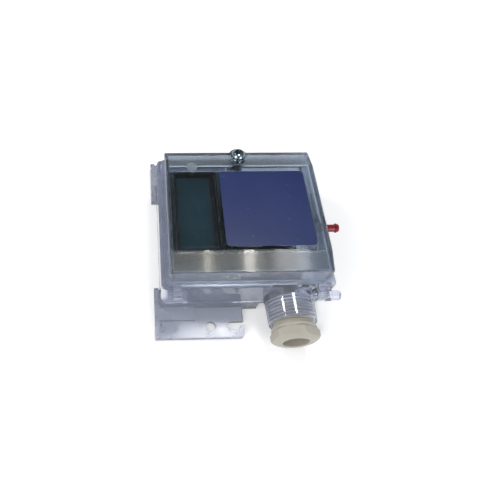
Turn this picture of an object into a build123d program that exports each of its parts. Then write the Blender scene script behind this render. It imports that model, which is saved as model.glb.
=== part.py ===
from build123d import *
import math
import os

os.makedirs("parts", exist_ok=True)

# Differential pressure transmitter in a clear wall housing, lengths in millimetres.
# The frame's origin lies on the wall plane, under the middle of the housing.
# +Z leaves the wall, +Y leads away from the cable gland, +X leads out of the pressure nozzles.

# Overall heights above the wall
lid_top_z = 41.0
rim_top_z = 27.6
skirt_foot_z = 9.5
bracket_floor = 2.4

# Lid, a clear hood with a flat top that drops to the front and rear edges
lid_width = 80.0
lid_depth = 74.2
lid_gap = 0.1
lid_wall = 2.2
lid_roof = 2.6
lid_flat_depth = 52.0
lid_eave_drop = 2.7
lid_lip_out = 1.8
lid_lip_height = 2.0
lid_edge_radius = 0.8
edge_reach = 0.01
window_corner = 0.6
window_width = 20.2
window_depth = 46.0
window_centre_x = -24.3
panel_centre_y = -0.9
panel_recess = 0.5
label_width = 45.3
label_depth = 46.0
label_centre_x = 10.8
label_corner = 2.2
label_thickness = 0.3
label_gap = 0.15

# Base housing, an inner tub inside an outer skirt, joined by the rim
skirt_width = 87.4
skirt_depth = 80.2
skirt_wall = 2.0
rim_thickness = 2.4
tub_gap_x = 2.1
tub_gap_y = 1.4
tub_wall = 2.2
tub_floor = 2.2
housing_corner = 2.5
lip_corner = 2.0
tub_corner = 2.0
tub_inner_corner = 1.2
gasket_width = 1.6
gasket_outer_corner = 2.0
gasket_inner_corner = 1.0
gasket_gap = 0.1
gasket_groove_depth = 1.4

# Hinge at the front corners, with a bar moulded across each pair of lugs
hinge_x = 36.0
hinge_y = -43.1
hinge_z = 23.6
hinge_bar_radius = 1.3
hinge_bar_hold = 0.5
hinge_fit = 0.07
hook_wall = 1.2
arm_hold = 0.5
hook_round = 1.6
hook_width = 4.2
hook_side_gap = 0.3
hook_mouth = 2.1
lug_width = 2.4
lug_radius = 3.0
barrel_end_x = 46.0
barrel_radius = 2.6
barrel_round = 1.4
barrel_round_step = 0.3

# Shares of a pan head's radius and height
pan_crown = 0.45
pan_top = 0.72
recess_width = 1.25
recess_slot = 0.3
recess_depth = 0.6

# Lid screw with its captive washer, on the rear slope
lid_screw_y = 32.5
lid_screw_radius = 1.95
lid_screw_head_radius = 3.5
lid_screw_head = 2.4
lid_screw_bite = 5.0
lid_screw_clearance = 0.3
lid_screw_room = 1.5
lid_screw_washer_radius = 4.1
lid_screw_washer = 0.6
washer_fit = 0.08
spot_radius = 5.0
spot_drop = 0.4
screw_post_radius = 4.0
screw_post_gap = 0.4

# Cable gland collar at the front, with its screw-in compression nut
gland_x = 22.9
gland_z = 13.4
collar_root_radius = 13.0
collar_root_straight = 0.8
collar_root_slope = 1.2
collar_root_step = 0.35
collar_end_radius = 12.05
collar_edge = 0.8
collar_edge_step = 0.25
collar_length = 13.8
collar_shoulder = 1.2
collar_mouth = 0.3
collar_flat_z = 0.6
thread_pitch = 1.75
thread_depth = 0.55
thread_bore_radius = 10.4
thread_gap = 0.35
cable_hole_radius = 6.3
gland_gap = 0.2
seal_bore_radius = 4.8
seal_rear_taper = 1.2
seal_waist = 0.8
thrust_ring = 1.2
thrust_ring_bore_radius = 5.8
nut_neck_inside = 6.9
nut_neck_shown = 2.5
nut_flange_radius = 11.4
nut_flange = 1.7
nut_flange_edge = 0.7
nut_groove_radius = 10.9
nut_groove = 0.5
nut_across_flats = 22.0
nut_corner_round = 0.35
nut_rear_edge = 0.6
nut_hex_length = 3.6
nut_dome = 1.8
nut_shoulder_out = 0.5
nut_shoulder = 0.6
nut_face_radius = 7.4
nut_bore_radius = 6.5
nut_mouth = 0.3
nut_turn = -8.0

# Pressure nozzles through the right wall, the red one above the clear one
nozzle_y = -1.2
red_nozzle_z = 19.3
clear_nozzle_z = 7.8
red_nozzle_end_x = 55.2
clear_nozzle_end_x = 51.5
nozzle_radius = 2.1
nozzle_lip_radius = 2.7
nozzle_lip = 1.6
nozzle_collar_radius = 3.3
nozzle_collar = 0.8
nozzle_bore_radius = 1.2
nozzle_lip_slope = 0.5
nozzle_lip_tip = 0.1
nozzle_boss_wall = 1.5
nozzle_boss_rise = 0.6
nozzle_seat_gap = 0.05
o_ring_section = 0.6
o_ring_gap = 0.05
tail_radius = 1.9
tail_length = 4.2
tail_step = 0.4

# Mounting bracket, a tray open to the right with a foot at the front and the rear
bracket_left = 3.0
bracket_right_x = 35.5
bracket_wall = 2.0
riser_gap = 0.2
riser_right_x = 8.4
foot_length = 16.7
foot_hold = 0.5
foot_height = 3.0
foot_right_x = 0.2
foot_corner = 2.0
foot_pad_height = 1.4
foot_pad_right_x = -25.5
foot_pad_length = 7.3
foot_hole_x = -17.3
foot_hole_radius = 2.6
foot_hole_offset = 10.4
foot_slot_x = -6.2
foot_slot_radius = 2.5
foot_slot_travel = 2.0
foot_slot_mouth = 2.4
foot_pad_inset = 0.4
side_rim_width = 2.4
side_rim_end = 11.2
bracket_screw_x = (-26.0, 6.0)
bracket_screw_y = 26.0
bracket_screw_radius = 1.4
bracket_screw_head_radius = 3.0
bracket_screw_length = 8.0
bracket_screw_room = 0.5
bracket_drive_width = 3.0
bracket_drive_slot = 0.7
bracket_drive_depth = 0.8
screw_fit = 0.05
screw_sink = 0.3
bracket_boss_radius = 3.2
bracket_boss_height = 5.6

# Circuit board on its posts
board_top_z = 24.0
board_thickness = 1.6
board_left_gap = 0.8
board_right_gap = 5.9
board_end_gap = 0.9
board_notch_x = -3.0
board_notch_y = -13.0
board_post_radius = 3.0
board_post_inset = 3.4
board_screw_radius = 1.15
board_screw_head_radius = 2.3
board_screw_head = 1.5
board_screw_bite = 6.0
board_screw_room = 0.5
board_hole_room = 0.2
board_relief = 0.8

# Display on the board, sunk in its black frame
display_frame_wall = 1.1
display_frame_gap = 0.5
display_glass_drop = 3.6
display_glass_thickness = 2.4
display_glass_gap = 0.15
display_dark_border = 2.2
display_frame_foot_z = 27.0
display_leg = 2.0
display_ledge = 1.0
display_dark_ledge = 3.0
display_pin_count = 10
display_pin = 0.6
display_pin_inset = 1.6
display_pin_margin = 4.0

# Screw terminals with rising clamps
terminal_poles = 3
terminal_pitch = 5.08
terminal_end_wall = 0.3
terminal_centre_x = 15.0
terminal_depth = 9.0
terminal_height = 12.0
terminal_front_wall = 0.7
clamp_width = 4.0
clamp_depth = 5.0
clamp_height = 5.0
clamp_wall = 0.7
clamp_travel = 2.4
clamp_gap = 0.15
terminal_screw_head_radius = 1.85
terminal_screw_head = 1.7
terminal_screw_radius = 1.1
terminal_fit = 0.08
terminal_web = 1.0
terminal_notch_gap = 0.2
terminal_floor = 0.9
terminal_rear_edge = 2.0
terminal_mouth_half = 1.7
terminal_screw_tip_gap = 0.4
terminal_slot = 0.7
terminal_slot_depth = 0.8

# Zero button, chip, capacitors and small parts on the board
button_x = -7.0
button_y = 4.0
button_case = 6.0
button_case_height = 3.5
button_radius = 1.7
button_rise = 3.4
button_travel = 0.4
button_fit = 0.08
button_case_corner = 0.5
button_well_floor = 1.2
button_stop_gap = 0.2
button_edge = 0.3
chip_x = 2.0
chip_rear_inset = 15.6
chip_size = 10.0
chip_height = 1.4
chip_standoff = 0.1
chip_edge = 0.3
chip_lead_pitch = 1.0
chip_lead_width = 0.4
chip_lead_reach = 1.0
chip_lead_height = 0.5
capacitor_right_inset = 9.0
capacitor_rear_inset = 12.1
capacitor_pitch = 9.0
capacitor_foot = 0.9
capacitor_shoulder = 0.6
capacitor_radius = 3.15
capacitor_height = 7.2
small_part_rows = 4
small_part_x = 11.5
small_part_front_inset = 24.0
small_part_pitch = 3.2
small_part_column = 4.16
resistor_size = (2.0, 1.3, 0.6)
diode_size = (3.0, 1.8, 1.1)

# Pressure sensor under the board, with a hose to each nozzle
sensor_length = 16.0
sensor_depth = 18.0
sensor_height = 9.0
sensor_centre_x = 5.0
sensor_centre_y = -1.2
sensor_port_spacing = 8.0
sensor_port_length = 3.5
sensor_port_wall = 0.7
sensor_port_bore = 3.0
sensor_edge = 0.8
hose_wall = 0.9
hose_fit = 0.1
hose_end_gap = 0.6
hose_straight = 3.0
hose_bend_radius = 7.0

# Places that follow from the sizes above
half_lid_x = lid_width / 2
half_lid_y = lid_depth / 2
half_skirt_x = skirt_width / 2
half_skirt_y = skirt_depth / 2
half_tub_x = half_skirt_x - skirt_wall - tub_gap_x
half_tub_y = half_skirt_y - skirt_wall - tub_gap_y
tub_inner_x = half_tub_x - tub_wall
tub_inner_y = half_tub_y - tub_wall
lid_foot_z = rim_top_z + lid_gap
tub_floor_z = bracket_floor + tub_floor
board_foot_z = board_top_z - board_thickness
board_left_x = board_left_gap - tub_inner_x
board_right_x = tub_inner_x - board_right_gap
board_half_depth = tub_inner_y - board_end_gap


def block(x_span, y_span, z_span):
    """Box between a low and a high value along each axis."""
    spans = (x_span, y_span, z_span)
    middle = [(low + high) / 2 for low, high in spans]
    size = [high - low for low, high in spans]
    return Pos(*middle) * Box(*size)


def rounded_block(half_x, half_y, z_span, corner):
    """Upright box about the Z axis with rounded corners."""
    outline = Pos(0, 0, z_span[0]) * RectangleRounded(2 * half_x, 2 * half_y, corner)
    return extrude(outline, z_span[1] - z_span[0])


def rod_z(x, y, z_span, radius):
    """Round bar along Z."""
    length = z_span[1] - z_span[0]
    return Pos(x, y, z_span[0] + length / 2) * Cylinder(radius, length)


def rod_x(x_span, y, z, radius):
    """Round bar along X."""
    length = x_span[1] - x_span[0]
    return Pos(x_span[0] + length / 2, y, z) * Rot(0, 90, 0) * Cylinder(radius, length)


def turned(points):
    """Solid turned about Z from (radius, height) points."""
    return revolve(Plane.XZ * make_face(Polyline(*points, close=True)), Axis.Z)


def at_gland(solid):
    """Moves a turned piece to the gland, its height counted outwards from the housing's front face."""
    return Location((gland_x, -half_skirt_y, gland_z), (90, 0, 0)) * solid


def thread_points(crest, root, start, turns):
    """Zigzag of (radius, height) points, one ridge and one groove to each turn."""
    points = []
    for turn in range(turns):
        foot = start + turn * thread_pitch
        points.append((crest, foot))
        points.append((root, foot + thread_pitch / 2))
    points.append((crest, start + turns * thread_pitch))
    return points


def cross_recess(x, y, top_z, width, slot, depth):
    """Cross-shaped drive cut down from a screw head's top."""
    one = block((x - width / 2, x + width / 2), (y - slot / 2, y + slot / 2), (top_z - depth, top_z))
    other = block((x - slot / 2, x + slot / 2), (y - width / 2, y + width / 2), (top_z - depth, top_z))
    return one + other


def pan_screw(x, y, seat_z, radius, bite, head_radius, head):
    """Pan-head screw standing on a seat, with a cross recess."""
    crown = head * pan_crown
    profile = [
        (0, seat_z - bite),
        (radius, seat_z - bite),
        (radius, seat_z),
        (head_radius, seat_z),
        (head_radius, seat_z + head - crown),
        (head_radius * pan_top, seat_z + head),
        (0, seat_z + head),
    ]
    body = Pos(x, y, 0) * turned(profile)
    return body - cross_recess(x, y, seat_z + head, head_radius * recess_width, head_radius * recess_slot,
                               head * recess_depth)


# Base housing
collar_bore_start = collar_shoulder
collar_turns = int((collar_length - collar_bore_start) / thread_pitch)


def make_collar():
    """Outside of the gland collar, with a straight root that runs back to the tub."""
    root_back = half_tub_y - half_skirt_y
    outside = turned([
        (0, root_back),
        (collar_root_radius, root_back),
        (collar_root_radius, collar_root_straight),
        (collar_root_radius - collar_root_step, collar_root_straight + collar_root_slope),
        (collar_end_radius + collar_edge_step, collar_length - collar_edge),
        (collar_end_radius, collar_length),
        (0, collar_length),
    ])
    return at_gland(outside)


def make_collar_bore():
    """Threaded bore of the collar, with the cable hole through its shoulder."""
    root_back = tub_inner_y - half_skirt_y - 1
    threaded_end = collar_bore_start + collar_turns * thread_pitch
    points = [(0, root_back), (cable_hole_radius, root_back), (cable_hole_radius, collar_bore_start)]
    points += thread_points(thread_bore_radius, thread_bore_radius + thread_depth, collar_bore_start,
                            collar_turns)
    mouth_radius = thread_bore_radius + thread_depth
    points += [(mouth_radius, threaded_end + collar_mouth), (mouth_radius, collar_length + 1)]
    points.append((0, collar_length + 1))
    return at_gland(turned(points))


def make_hinge_lugs(side):
    """Two lugs and the bar between them, for one front corner."""
    gap_half = hook_width / 2 + hook_side_gap
    centre_x = side * hinge_x
    wall_y = -half_skirt_y + skirt_wall / 2
    lugs = []
    for direction in (-1, 1):
        inner = centre_x + direction * gap_half
        outer = inner + direction * lug_width
        x_span = (min(inner, outer), max(inner, outer))
        web = block(x_span, (hinge_y, wall_y), (hinge_z - lug_radius, hinge_z + lug_radius))
        lugs.append(rod_x(x_span, hinge_y, hinge_z, lug_radius) + web)
    half_bar = gap_half + hinge_bar_hold
    bar = rod_x((centre_x - half_bar, centre_x + half_bar), hinge_y, hinge_z, hinge_bar_radius)
    return lugs[0] + lugs[1] + bar


def make_hinge_barrel():
    """Rounded barrel that carries on past the outer lug of the right hinge."""
    start = hinge_x + hook_width / 2 + hook_side_gap + lug_width / 2
    round_step = barrel_round * barrel_round_step
    profile = [
        (0, start),
        (barrel_radius, start),
        (barrel_radius, barrel_end_x - barrel_round),
        (barrel_radius - round_step, barrel_end_x - round_step),
        (barrel_radius - barrel_round, barrel_end_x),
        (0, barrel_end_x),
    ]
    return Location((0, hinge_y, hinge_z), (0, 90, 0)) * turned(profile)


def make_nozzle_boss():
    """Thick place in the wall round both nozzles, from the tub to just past the skirt."""
    radius = nozzle_collar_radius + nozzle_boss_wall
    x_span = (tub_inner_x, half_skirt_x + nozzle_boss_rise)
    boss = rod_x(x_span, nozzle_y, red_nozzle_z, radius)
    boss += rod_x(x_span, nozzle_y, clear_nozzle_z, radius)
    boss += block(x_span, (nozzle_y - radius, nozzle_y + radius), (clear_nozzle_z, red_nozzle_z))
    return boss


def board_posts():
    """Places of the four posts that carry the circuit board."""
    left_x = board_left_x + board_post_inset
    right_x = board_right_x - board_post_inset
    rear_y = board_half_depth - board_post_inset
    front_right_y = board_notch_y + board_post_inset
    return [(left_x, -rear_y), (left_x, rear_y), (right_x, rear_y), (right_x, front_right_y)]


def bracket_screw_places():
    """Places of the four screws that hold the bracket to the tub's floor."""
    return [(x, y) for x in bracket_screw_x for y in (-bracket_screw_y, bracket_screw_y)]


def make_base_housing():
    """Clear moulded base: tub, rim, skirt, gland collar, hinge lugs, posts and bosses."""
    tub = rounded_block(half_tub_x, half_tub_y, (bracket_floor, rim_top_z), tub_corner)
    skirt = rounded_block(half_skirt_x, half_skirt_y, (skirt_foot_z, rim_top_z), housing_corner)
    skirt -= rounded_block(half_skirt_x - skirt_wall, half_skirt_y - skirt_wall,
                           (skirt_foot_z, rim_top_z - rim_thickness), housing_corner - 1)
    body = skirt + tub
    body += make_collar()
    body -= block((gland_x - collar_root_radius, gland_x + collar_root_radius),
                  (-half_skirt_y - collar_length, -half_tub_y), (-gland_z, collar_flat_z))
    body += make_nozzle_boss()
    body -= rounded_block(tub_inner_x, tub_inner_y, (tub_floor_z, rim_top_z), tub_inner_corner)
    for x, y in board_posts():
        body += rod_z(x, y, (tub_floor_z, board_foot_z), board_post_radius)
    for x, y in bracket_screw_places():
        body += rod_z(x, y, (tub_floor_z, tub_floor_z + bracket_boss_height), bracket_boss_radius)
    boss = rod_z(0, lid_screw_y, (tub_floor_z, rim_top_z), screw_post_radius)
    boss += block((-screw_post_radius, screw_post_radius), (lid_screw_y, tub_inner_y + tub_wall / 2),
                  (tub_floor_z, rim_top_z))
    body += boss
    for side in (-1, 1):
        body += make_hinge_lugs(side)
    body += make_hinge_barrel()
    body -= make_collar_bore()
    groove = rounded_block(half_lid_x, half_lid_y, (rim_top_z - gasket_groove_depth, rim_top_z),
                           gasket_outer_corner)
    groove -= rounded_block(half_lid_x - gasket_width - 2 * gasket_gap,
                            half_lid_y - gasket_width - 2 * gasket_gap,
                            (rim_top_z - gasket_groove_depth, rim_top_z), gasket_inner_corner)
    body -= groove
    bore_depth = lid_screw_bite + lid_screw_room
    body -= rod_z(0, lid_screw_y, (rim_top_z - bore_depth, rim_top_z),
                  lid_screw_radius + lid_screw_clearance)
    for x, y in board_posts():
        body -= rod_z(x, y, (board_foot_z - board_screw_bite, board_foot_z), board_screw_radius + screw_fit)
    for x, y in bracket_screw_places():
        hole_top = screw_sink + bracket_screw_length + bracket_screw_room
        body -= rod_z(x, y, (bracket_floor, hole_top), bracket_screw_radius + screw_fit)
    boss_face_x = half_skirt_x + nozzle_boss_rise
    for z in (red_nozzle_z, clear_nozzle_z):
        body -= rod_x((tub_inner_x - 1, boss_face_x + 1), nozzle_y, z, nozzle_radius + nozzle_seat_gap)
        body -= rod_x((boss_face_x - 2 * o_ring_section, boss_face_x), nozzle_y, z,
                      nozzle_radius + 2 * o_ring_section + nozzle_seat_gap)
    return body


# Lid
def make_lid():
    """Clear hood: sloped roof, lip, screw post and the two hinge hooks."""
    eave_z = lid_top_z - lid_eave_drop
    half_flat = lid_flat_depth / 2
    outline = [
        (-half_lid_y, lid_foot_z),
        (half_lid_y, lid_foot_z),
        (half_lid_y, eave_z),
        (half_flat, lid_top_z),
        (-half_flat, lid_top_z),
        (-half_lid_y, eave_z),
    ]
    shell = extrude(Plane.YZ * make_face(Polyline(*outline, close=True)), half_lid_x, both=True)
    ridges = shell.edges().filter_by(lambda e: abs(abs(e.center().Y) - half_flat) < edge_reach)
    feet = shell.edges().filter_by(lambda e: abs(e.center().Z - lid_foot_z) < edge_reach)
    shell = fillet(shell.edges() - ridges - feet, lid_edge_radius)
    lip = rounded_block(half_lid_x + lid_lip_out, half_lid_y + lid_lip_out,
                        (lid_foot_z, lid_foot_z + lid_lip_height), lip_corner)
    shell += lip
    inner_y = half_lid_y - lid_wall
    slope = lid_eave_drop / (half_lid_y - half_flat)
    inner_top = lid_top_z - lid_roof
    inner_eave = inner_top - (inner_y - half_flat) * slope
    hollow = [
        (-inner_y, lid_foot_z - 1),
        (inner_y, lid_foot_z - 1),
        (inner_y, inner_eave),
        (half_flat, inner_top),
        (-half_flat, inner_top),
        (-inner_y, inner_eave),
    ]
    shell -= extrude(Plane.YZ * make_face(Polyline(*hollow, close=True)), half_lid_x - lid_wall, both=True)
    spot_z = screw_seat_z()
    post_foot = lid_foot_z + screw_post_gap
    shell += rod_z(0, lid_screw_y, (post_foot, eave_z), screw_post_radius)
    shell += block((-screw_post_radius, screw_post_radius), (lid_screw_y, half_lid_y - lid_wall / 2),
                   (post_foot, eave_z - lid_roof))
    shell += rod_z(0, lid_screw_y, (eave_z - lid_roof / 2, spot_z), spot_radius)
    shell -= rod_z(0, lid_screw_y, (spot_z, lid_top_z + 1), spot_radius)
    shell -= rod_z(0, lid_screw_y, (post_foot - 1, spot_z + 1), lid_screw_radius + lid_screw_clearance)
    shell -= panel_pocket(label_centre_x, label_width, label_depth, label_corner)
    shell -= panel_pocket(window_centre_x, window_width, window_depth, window_corner)
    for side in (-1, 1):
        shell += make_hinge_hook(side)
        shell -= rod_x((side * hinge_x - hook_width, side * hinge_x + hook_width), hinge_y, hinge_z,
                       hinge_bar_radius + hinge_fit)
    return shell


def screw_seat_z():
    """Height of the level spot face under the lid screw's washer."""
    return lid_top_z - spot_drop


def panel_pocket(centre_x, width, depth, corner):
    """Shallow pocket in the lid's flat top."""
    outline = RectangleRounded(width, depth, corner)
    return extrude(Pos(centre_x, panel_centre_y, lid_top_z - panel_recess) * outline, panel_recess + 1)


def make_hinge_hook(side):
    """Arm from the lid's lip to a hook that snaps over the housing's hinge bar."""
    hook_radius = hinge_bar_radius + hinge_fit + hook_wall
    x_span = (side * hinge_x - hook_width / 2, side * hinge_x + hook_width / 2)
    lip_front_y = -half_lid_y - lid_lip_out
    arm_top_z = lid_foot_z + lid_lip_height
    arm = block(x_span, (hinge_y, lip_front_y + arm_hold), (lid_foot_z, arm_top_z))
    web = block(x_span, (hinge_y - hook_radius, hinge_y + hook_wall), (hinge_z, arm_top_z))
    front_top = web.edges().filter_by(Axis.X).sort_by(lambda e: e.center().Y - e.center().Z)[0]
    web = fillet(front_top, hook_round)
    hook = rod_x(x_span, hinge_y, hinge_z, hook_radius)
    mouth = block((x_span[0], x_span[1]), (hinge_y - hook_mouth / 2, hinge_y + hook_mouth / 2),
                  (hinge_z - hook_radius, hinge_z))
    return arm + web + (hook - mouth)


def make_lid_label():
    """Blue printed film laid in the lid's large pocket."""
    film = RectangleRounded(label_width - 2 * label_gap, label_depth - 2 * label_gap,
                            label_corner - label_gap)
    return extrude(Pos(label_centre_x, panel_centre_y, lid_top_z - panel_recess) * film, label_thickness)


def make_lid_screw():
    """Plated pan-head screw that closes the lid."""
    seat_z = screw_seat_z() + lid_screw_washer
    bite = seat_z - rim_top_z + lid_screw_bite
    return pan_screw(0, lid_screw_y, seat_z, lid_screw_radius, bite, lid_screw_head_radius, lid_screw_head)


def make_lid_screw_washer():
    """Captive washer under the lid screw's head."""
    seat_z = screw_seat_z()
    disc = rod_z(0, lid_screw_y, (seat_z, seat_z + lid_screw_washer), lid_screw_washer_radius)
    return disc - rod_z(0, lid_screw_y, (seat_z - 1, seat_z + 2), lid_screw_radius + washer_fit)


def make_lid_gasket():
    """Soft sealing cord laid in the groove of the housing's rim."""
    z_span = (rim_top_z - gasket_groove_depth, rim_top_z)
    outer = rounded_block(half_lid_x - gasket_gap, half_lid_y - gasket_gap, z_span,
                          gasket_outer_corner - gasket_gap)
    inner = rounded_block(half_lid_x - gasket_gap - gasket_width, half_lid_y - gasket_gap - gasket_width,
                          z_span, gasket_inner_corner + gasket_gap)
    return outer - inner


# Cable gland
seal_start = collar_shoulder
nut_start = collar_length - nut_neck_inside
ring_start = nut_start - gland_gap - thrust_ring
seal_end = ring_start - gland_gap
flange_start = collar_length + nut_neck_shown
flange_end = flange_start + nut_flange
hex_start = flange_end + nut_groove
hex_end = hex_start + nut_hex_length
nut_front = hex_end + nut_dome
nut_thread_turns = int((flange_start - nut_start) / thread_pitch)


def make_gland_seal():
    """Soft bush that grips the cable, with a waist round its bore."""
    outer = thread_bore_radius - thread_gap
    return at_gland(turned([
        (seal_bore_radius + seal_waist, seal_start),
        (outer, seal_start),
        (outer, seal_end - seal_rear_taper),
        (outer - seal_rear_taper, seal_end),
        (seal_bore_radius + seal_waist, seal_end),
        (seal_bore_radius, seal_end - seal_waist),
        (seal_bore_radius, seal_start + seal_waist),
    ]))


def make_gland_thrust_ring():
    """Flat ring that keeps the turning nut off the seal."""
    outer = thread_bore_radius - thread_gap
    return at_gland(turned([
        (thrust_ring_bore_radius, ring_start),
        (outer, ring_start),
        (outer, ring_start + thrust_ring),
        (thrust_ring_bore_radius, ring_start + thrust_ring),
    ]))


def make_gland_nut():
    """Compression nut: threaded neck, round flange, groove, and a hexagon with a domed front."""
    crest = thread_bore_radius - thread_gap
    root = crest - thread_depth
    corner_radius = nut_across_flats / math.sqrt(3) - nut_corner_round
    half_flats = nut_across_flats / 2
    neck_points = [(0, nut_start)]
    neck_points += thread_points(root, crest, nut_start, nut_thread_turns)
    neck_points += [
        (root, flange_start),
        (nut_flange_radius - nut_flange_edge, flange_start),
        (nut_flange_radius, flange_start + nut_flange_edge),
        (nut_flange_radius, flange_end),
        (nut_groove_radius, flange_end),
        (nut_groove_radius, hex_start + nut_rear_edge),
        (0, hex_start + nut_rear_edge),
    ]
    neck = turned(neck_points)
    hexagon = extrude(Pos(0, 0, hex_start) * RegularPolygon(half_flats, 6, major_radius=False),
                      nut_front - hex_start)
    hexagon = Rot(0, 0, nut_turn + 30) * hexagon
    rounding = turned([
        (0, hex_start),
        (half_flats, hex_start),
        (corner_radius, hex_start + nut_rear_edge),
        (corner_radius, hex_end - nut_shoulder),
        (half_flats + nut_shoulder_out, hex_end + nut_shoulder),
        (nut_face_radius, nut_front),
        (0, nut_front),
    ])
    bore = turned([
        (0, nut_start - 1),
        (nut_bore_radius, nut_start - 1),
        (nut_bore_radius, nut_front - nut_mouth),
        (nut_bore_radius + 2 * nut_mouth, nut_front + nut_mouth),
        (0, nut_front + nut_mouth),
    ])
    return at_gland(neck + (hexagon & rounding) - bore)


# Pressure nozzles
def make_nozzle(z, end_x):
    """Hose nozzle with a flared lip outside and a plain tail inside."""
    wall_x = half_skirt_x + nozzle_boss_rise
    profile = [
        (tail_radius, tub_inner_x - tail_length),
        (tail_radius, tub_inner_x - tail_step),
        (nozzle_radius, tub_inner_x - tail_step),
        (nozzle_radius, wall_x),
        (nozzle_collar_radius, wall_x),
        (nozzle_collar_radius, wall_x + nozzle_collar),
        (nozzle_radius, wall_x + nozzle_collar),
        (nozzle_radius, end_x - nozzle_lip - nozzle_lip_slope),
        (nozzle_lip_radius, end_x - nozzle_lip),
        (nozzle_radius + nozzle_lip_tip, end_x),
        (nozzle_bore_radius, end_x),
        (nozzle_bore_radius, tub_inner_x - tail_length),
    ]
    return Location((0, nozzle_y, z), (0, 90, 0)) * turned(profile)


def make_nozzle_o_rings():
    """Two soft rings, pressed square in their seats by the nozzles' collars."""
    face_x = half_skirt_x + nozzle_boss_rise
    x_span = (face_x - 2 * o_ring_section + o_ring_gap, face_x - o_ring_gap)
    inner = nozzle_radius + nozzle_seat_gap + o_ring_gap
    outer = nozzle_radius + nozzle_seat_gap + 2 * o_ring_section - o_ring_gap
    rings = []
    for z in (red_nozzle_z, clear_nozzle_z):
        rings.append(rod_x(x_span, nozzle_y, z, outer) - rod_x(x_span, nozzle_y, z, inner))
    return Compound(rings)


# Mounting bracket
def make_bracket():
    """Clear moulded tray under the housing, with two feet for wall screws."""
    half_riser_y = half_skirt_y - riser_gap / 2
    riser_left_x = -half_skirt_x + riser_gap / 2
    riser_top_z = skirt_foot_z - riser_gap
    floor = block((riser_left_x, bracket_right_x), (-half_tub_y, half_tub_y), (0, bracket_floor))
    floor += block((riser_left_x, riser_right_x), (-half_riser_y, half_riser_y), (0, bracket_floor))
    risers = block((riser_left_x, riser_right_x), (-half_riser_y, half_riser_y), (0, riser_top_z))
    half_inside_y = half_riser_y - bracket_wall
    risers -= block((riser_left_x + bracket_wall, riser_right_x + 1), (-half_inside_y, half_inside_y),
                    (bracket_floor, riser_top_z))
    foot = make_foot(riser_left_x, half_riser_y)
    tray = floor + risers + foot + mirror(foot, Plane.XZ)
    sink_depth = bracket_screw_head_radius - bracket_screw_radius
    for x, y in bracket_screw_places():
        sink = turned([
            (0, -1),
            (bracket_screw_head_radius + screw_fit, -1),
            (bracket_screw_head_radius + screw_fit, screw_sink),
            (bracket_screw_radius + 2 * screw_fit, screw_sink + sink_depth),
            (bracket_screw_radius + 2 * screw_fit, bracket_floor + 1),
            (0, bracket_floor + 1),
        ])
        tray -= Pos(x, y, 0) * sink
    return tray


def make_foot(inner_x, root_y):
    """Front foot with a screw hole and a side-entry slot, its left side carried back along the housing."""
    left_x = -half_skirt_x - bracket_left
    front_y = -root_y - foot_length
    slot_y = front_y + foot_length - foot_hole_offset
    plate = block((left_x, foot_right_x), (front_y, -root_y + foot_hold), (0, foot_height))
    right_corners = plate.edges().filter_by(Axis.Z).sort_by(Axis.X)[-2:].sort_by(Axis.Y)[0]
    plate = fillet(right_corners, foot_corner)
    plate += block((left_x + foot_pad_inset, foot_pad_right_x),
                   (-root_y - foot_pad_length, -root_y + foot_hold),
                   (0, foot_height + foot_pad_height))
    plate += block((left_x, inner_x + bracket_wall), (front_y, -root_y + side_rim_end), (0, bracket_floor))
    plate += block((left_x, left_x + side_rim_width), (front_y, -root_y + side_rim_end),
                   (0, foot_height + foot_pad_height))
    plate -= rod_z(foot_hole_x, slot_y, (-1, foot_height + 1), foot_hole_radius)
    slot = SlotCenterToCenter(foot_slot_travel, 2 * foot_slot_radius)
    plate -= extrude(Pos(foot_slot_x + foot_slot_travel / 2, slot_y, -1) * slot, foot_height + 2)
    mouth_y = slot_y + foot_slot_radius - foot_slot_mouth / 2
    plate -= block((foot_slot_x + foot_slot_travel, foot_right_x + 1),
                   (mouth_y - foot_slot_mouth / 2, mouth_y + foot_slot_mouth / 2), (-1, foot_height + 1))
    return plate


def make_bracket_screws():
    """Four countersunk screws from below, through the tray into the tub's bosses."""
    sink_depth = bracket_screw_head_radius - bracket_screw_radius
    tip_z = screw_sink + bracket_screw_length
    profile = [
        (0, screw_sink),
        (bracket_screw_head_radius, screw_sink),
        (bracket_screw_radius, screw_sink + sink_depth),
        (bracket_screw_radius, tip_z),
        (0, tip_z),
    ]
    screws = []
    for x, y in bracket_screw_places():
        drive = cross_recess(x, y, screw_sink + bracket_drive_depth, bracket_drive_width, bracket_drive_slot,
                             bracket_drive_depth)
        screws.append(Pos(x, y, 0) * turned(profile) - drive)
    return Compound(screws)


# Circuit board and what it carries
def make_board():
    """Circuit board with a notch over the wiring space."""
    outline = Polyline(
        (board_left_x, -board_half_depth),
        (board_notch_x, -board_half_depth),
        (board_notch_x, board_notch_y),
        (board_right_x, board_notch_y),
        (board_right_x, board_half_depth),
        (board_left_x, board_half_depth),
        close=True,
    )
    board = extrude(Pos(0, 0, board_foot_z) * make_face(outline), board_thickness)
    relief = screw_post_radius + board_relief
    board -= block((-relief, relief), (lid_screw_y - relief, board_half_depth + 1), (0, board_top_z + 1))
    for x, y in board_posts():
        board -= rod_z(x, y, (0, board_top_z + 1), board_screw_radius + board_hole_room)
    return board


def make_board_screws():
    """Four small pan-head screws in the board's posts."""
    screws = []
    for x, y in board_posts():
        bite = board_thickness + board_screw_bite - board_screw_room
        screws.append(pan_screw(x, y, board_top_z, board_screw_radius, bite, board_screw_head_radius,
                                board_screw_head))
    return Compound(screws)


display_top_z = lid_top_z - lid_roof - display_frame_gap
glass_top_z = display_top_z - display_glass_drop


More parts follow.
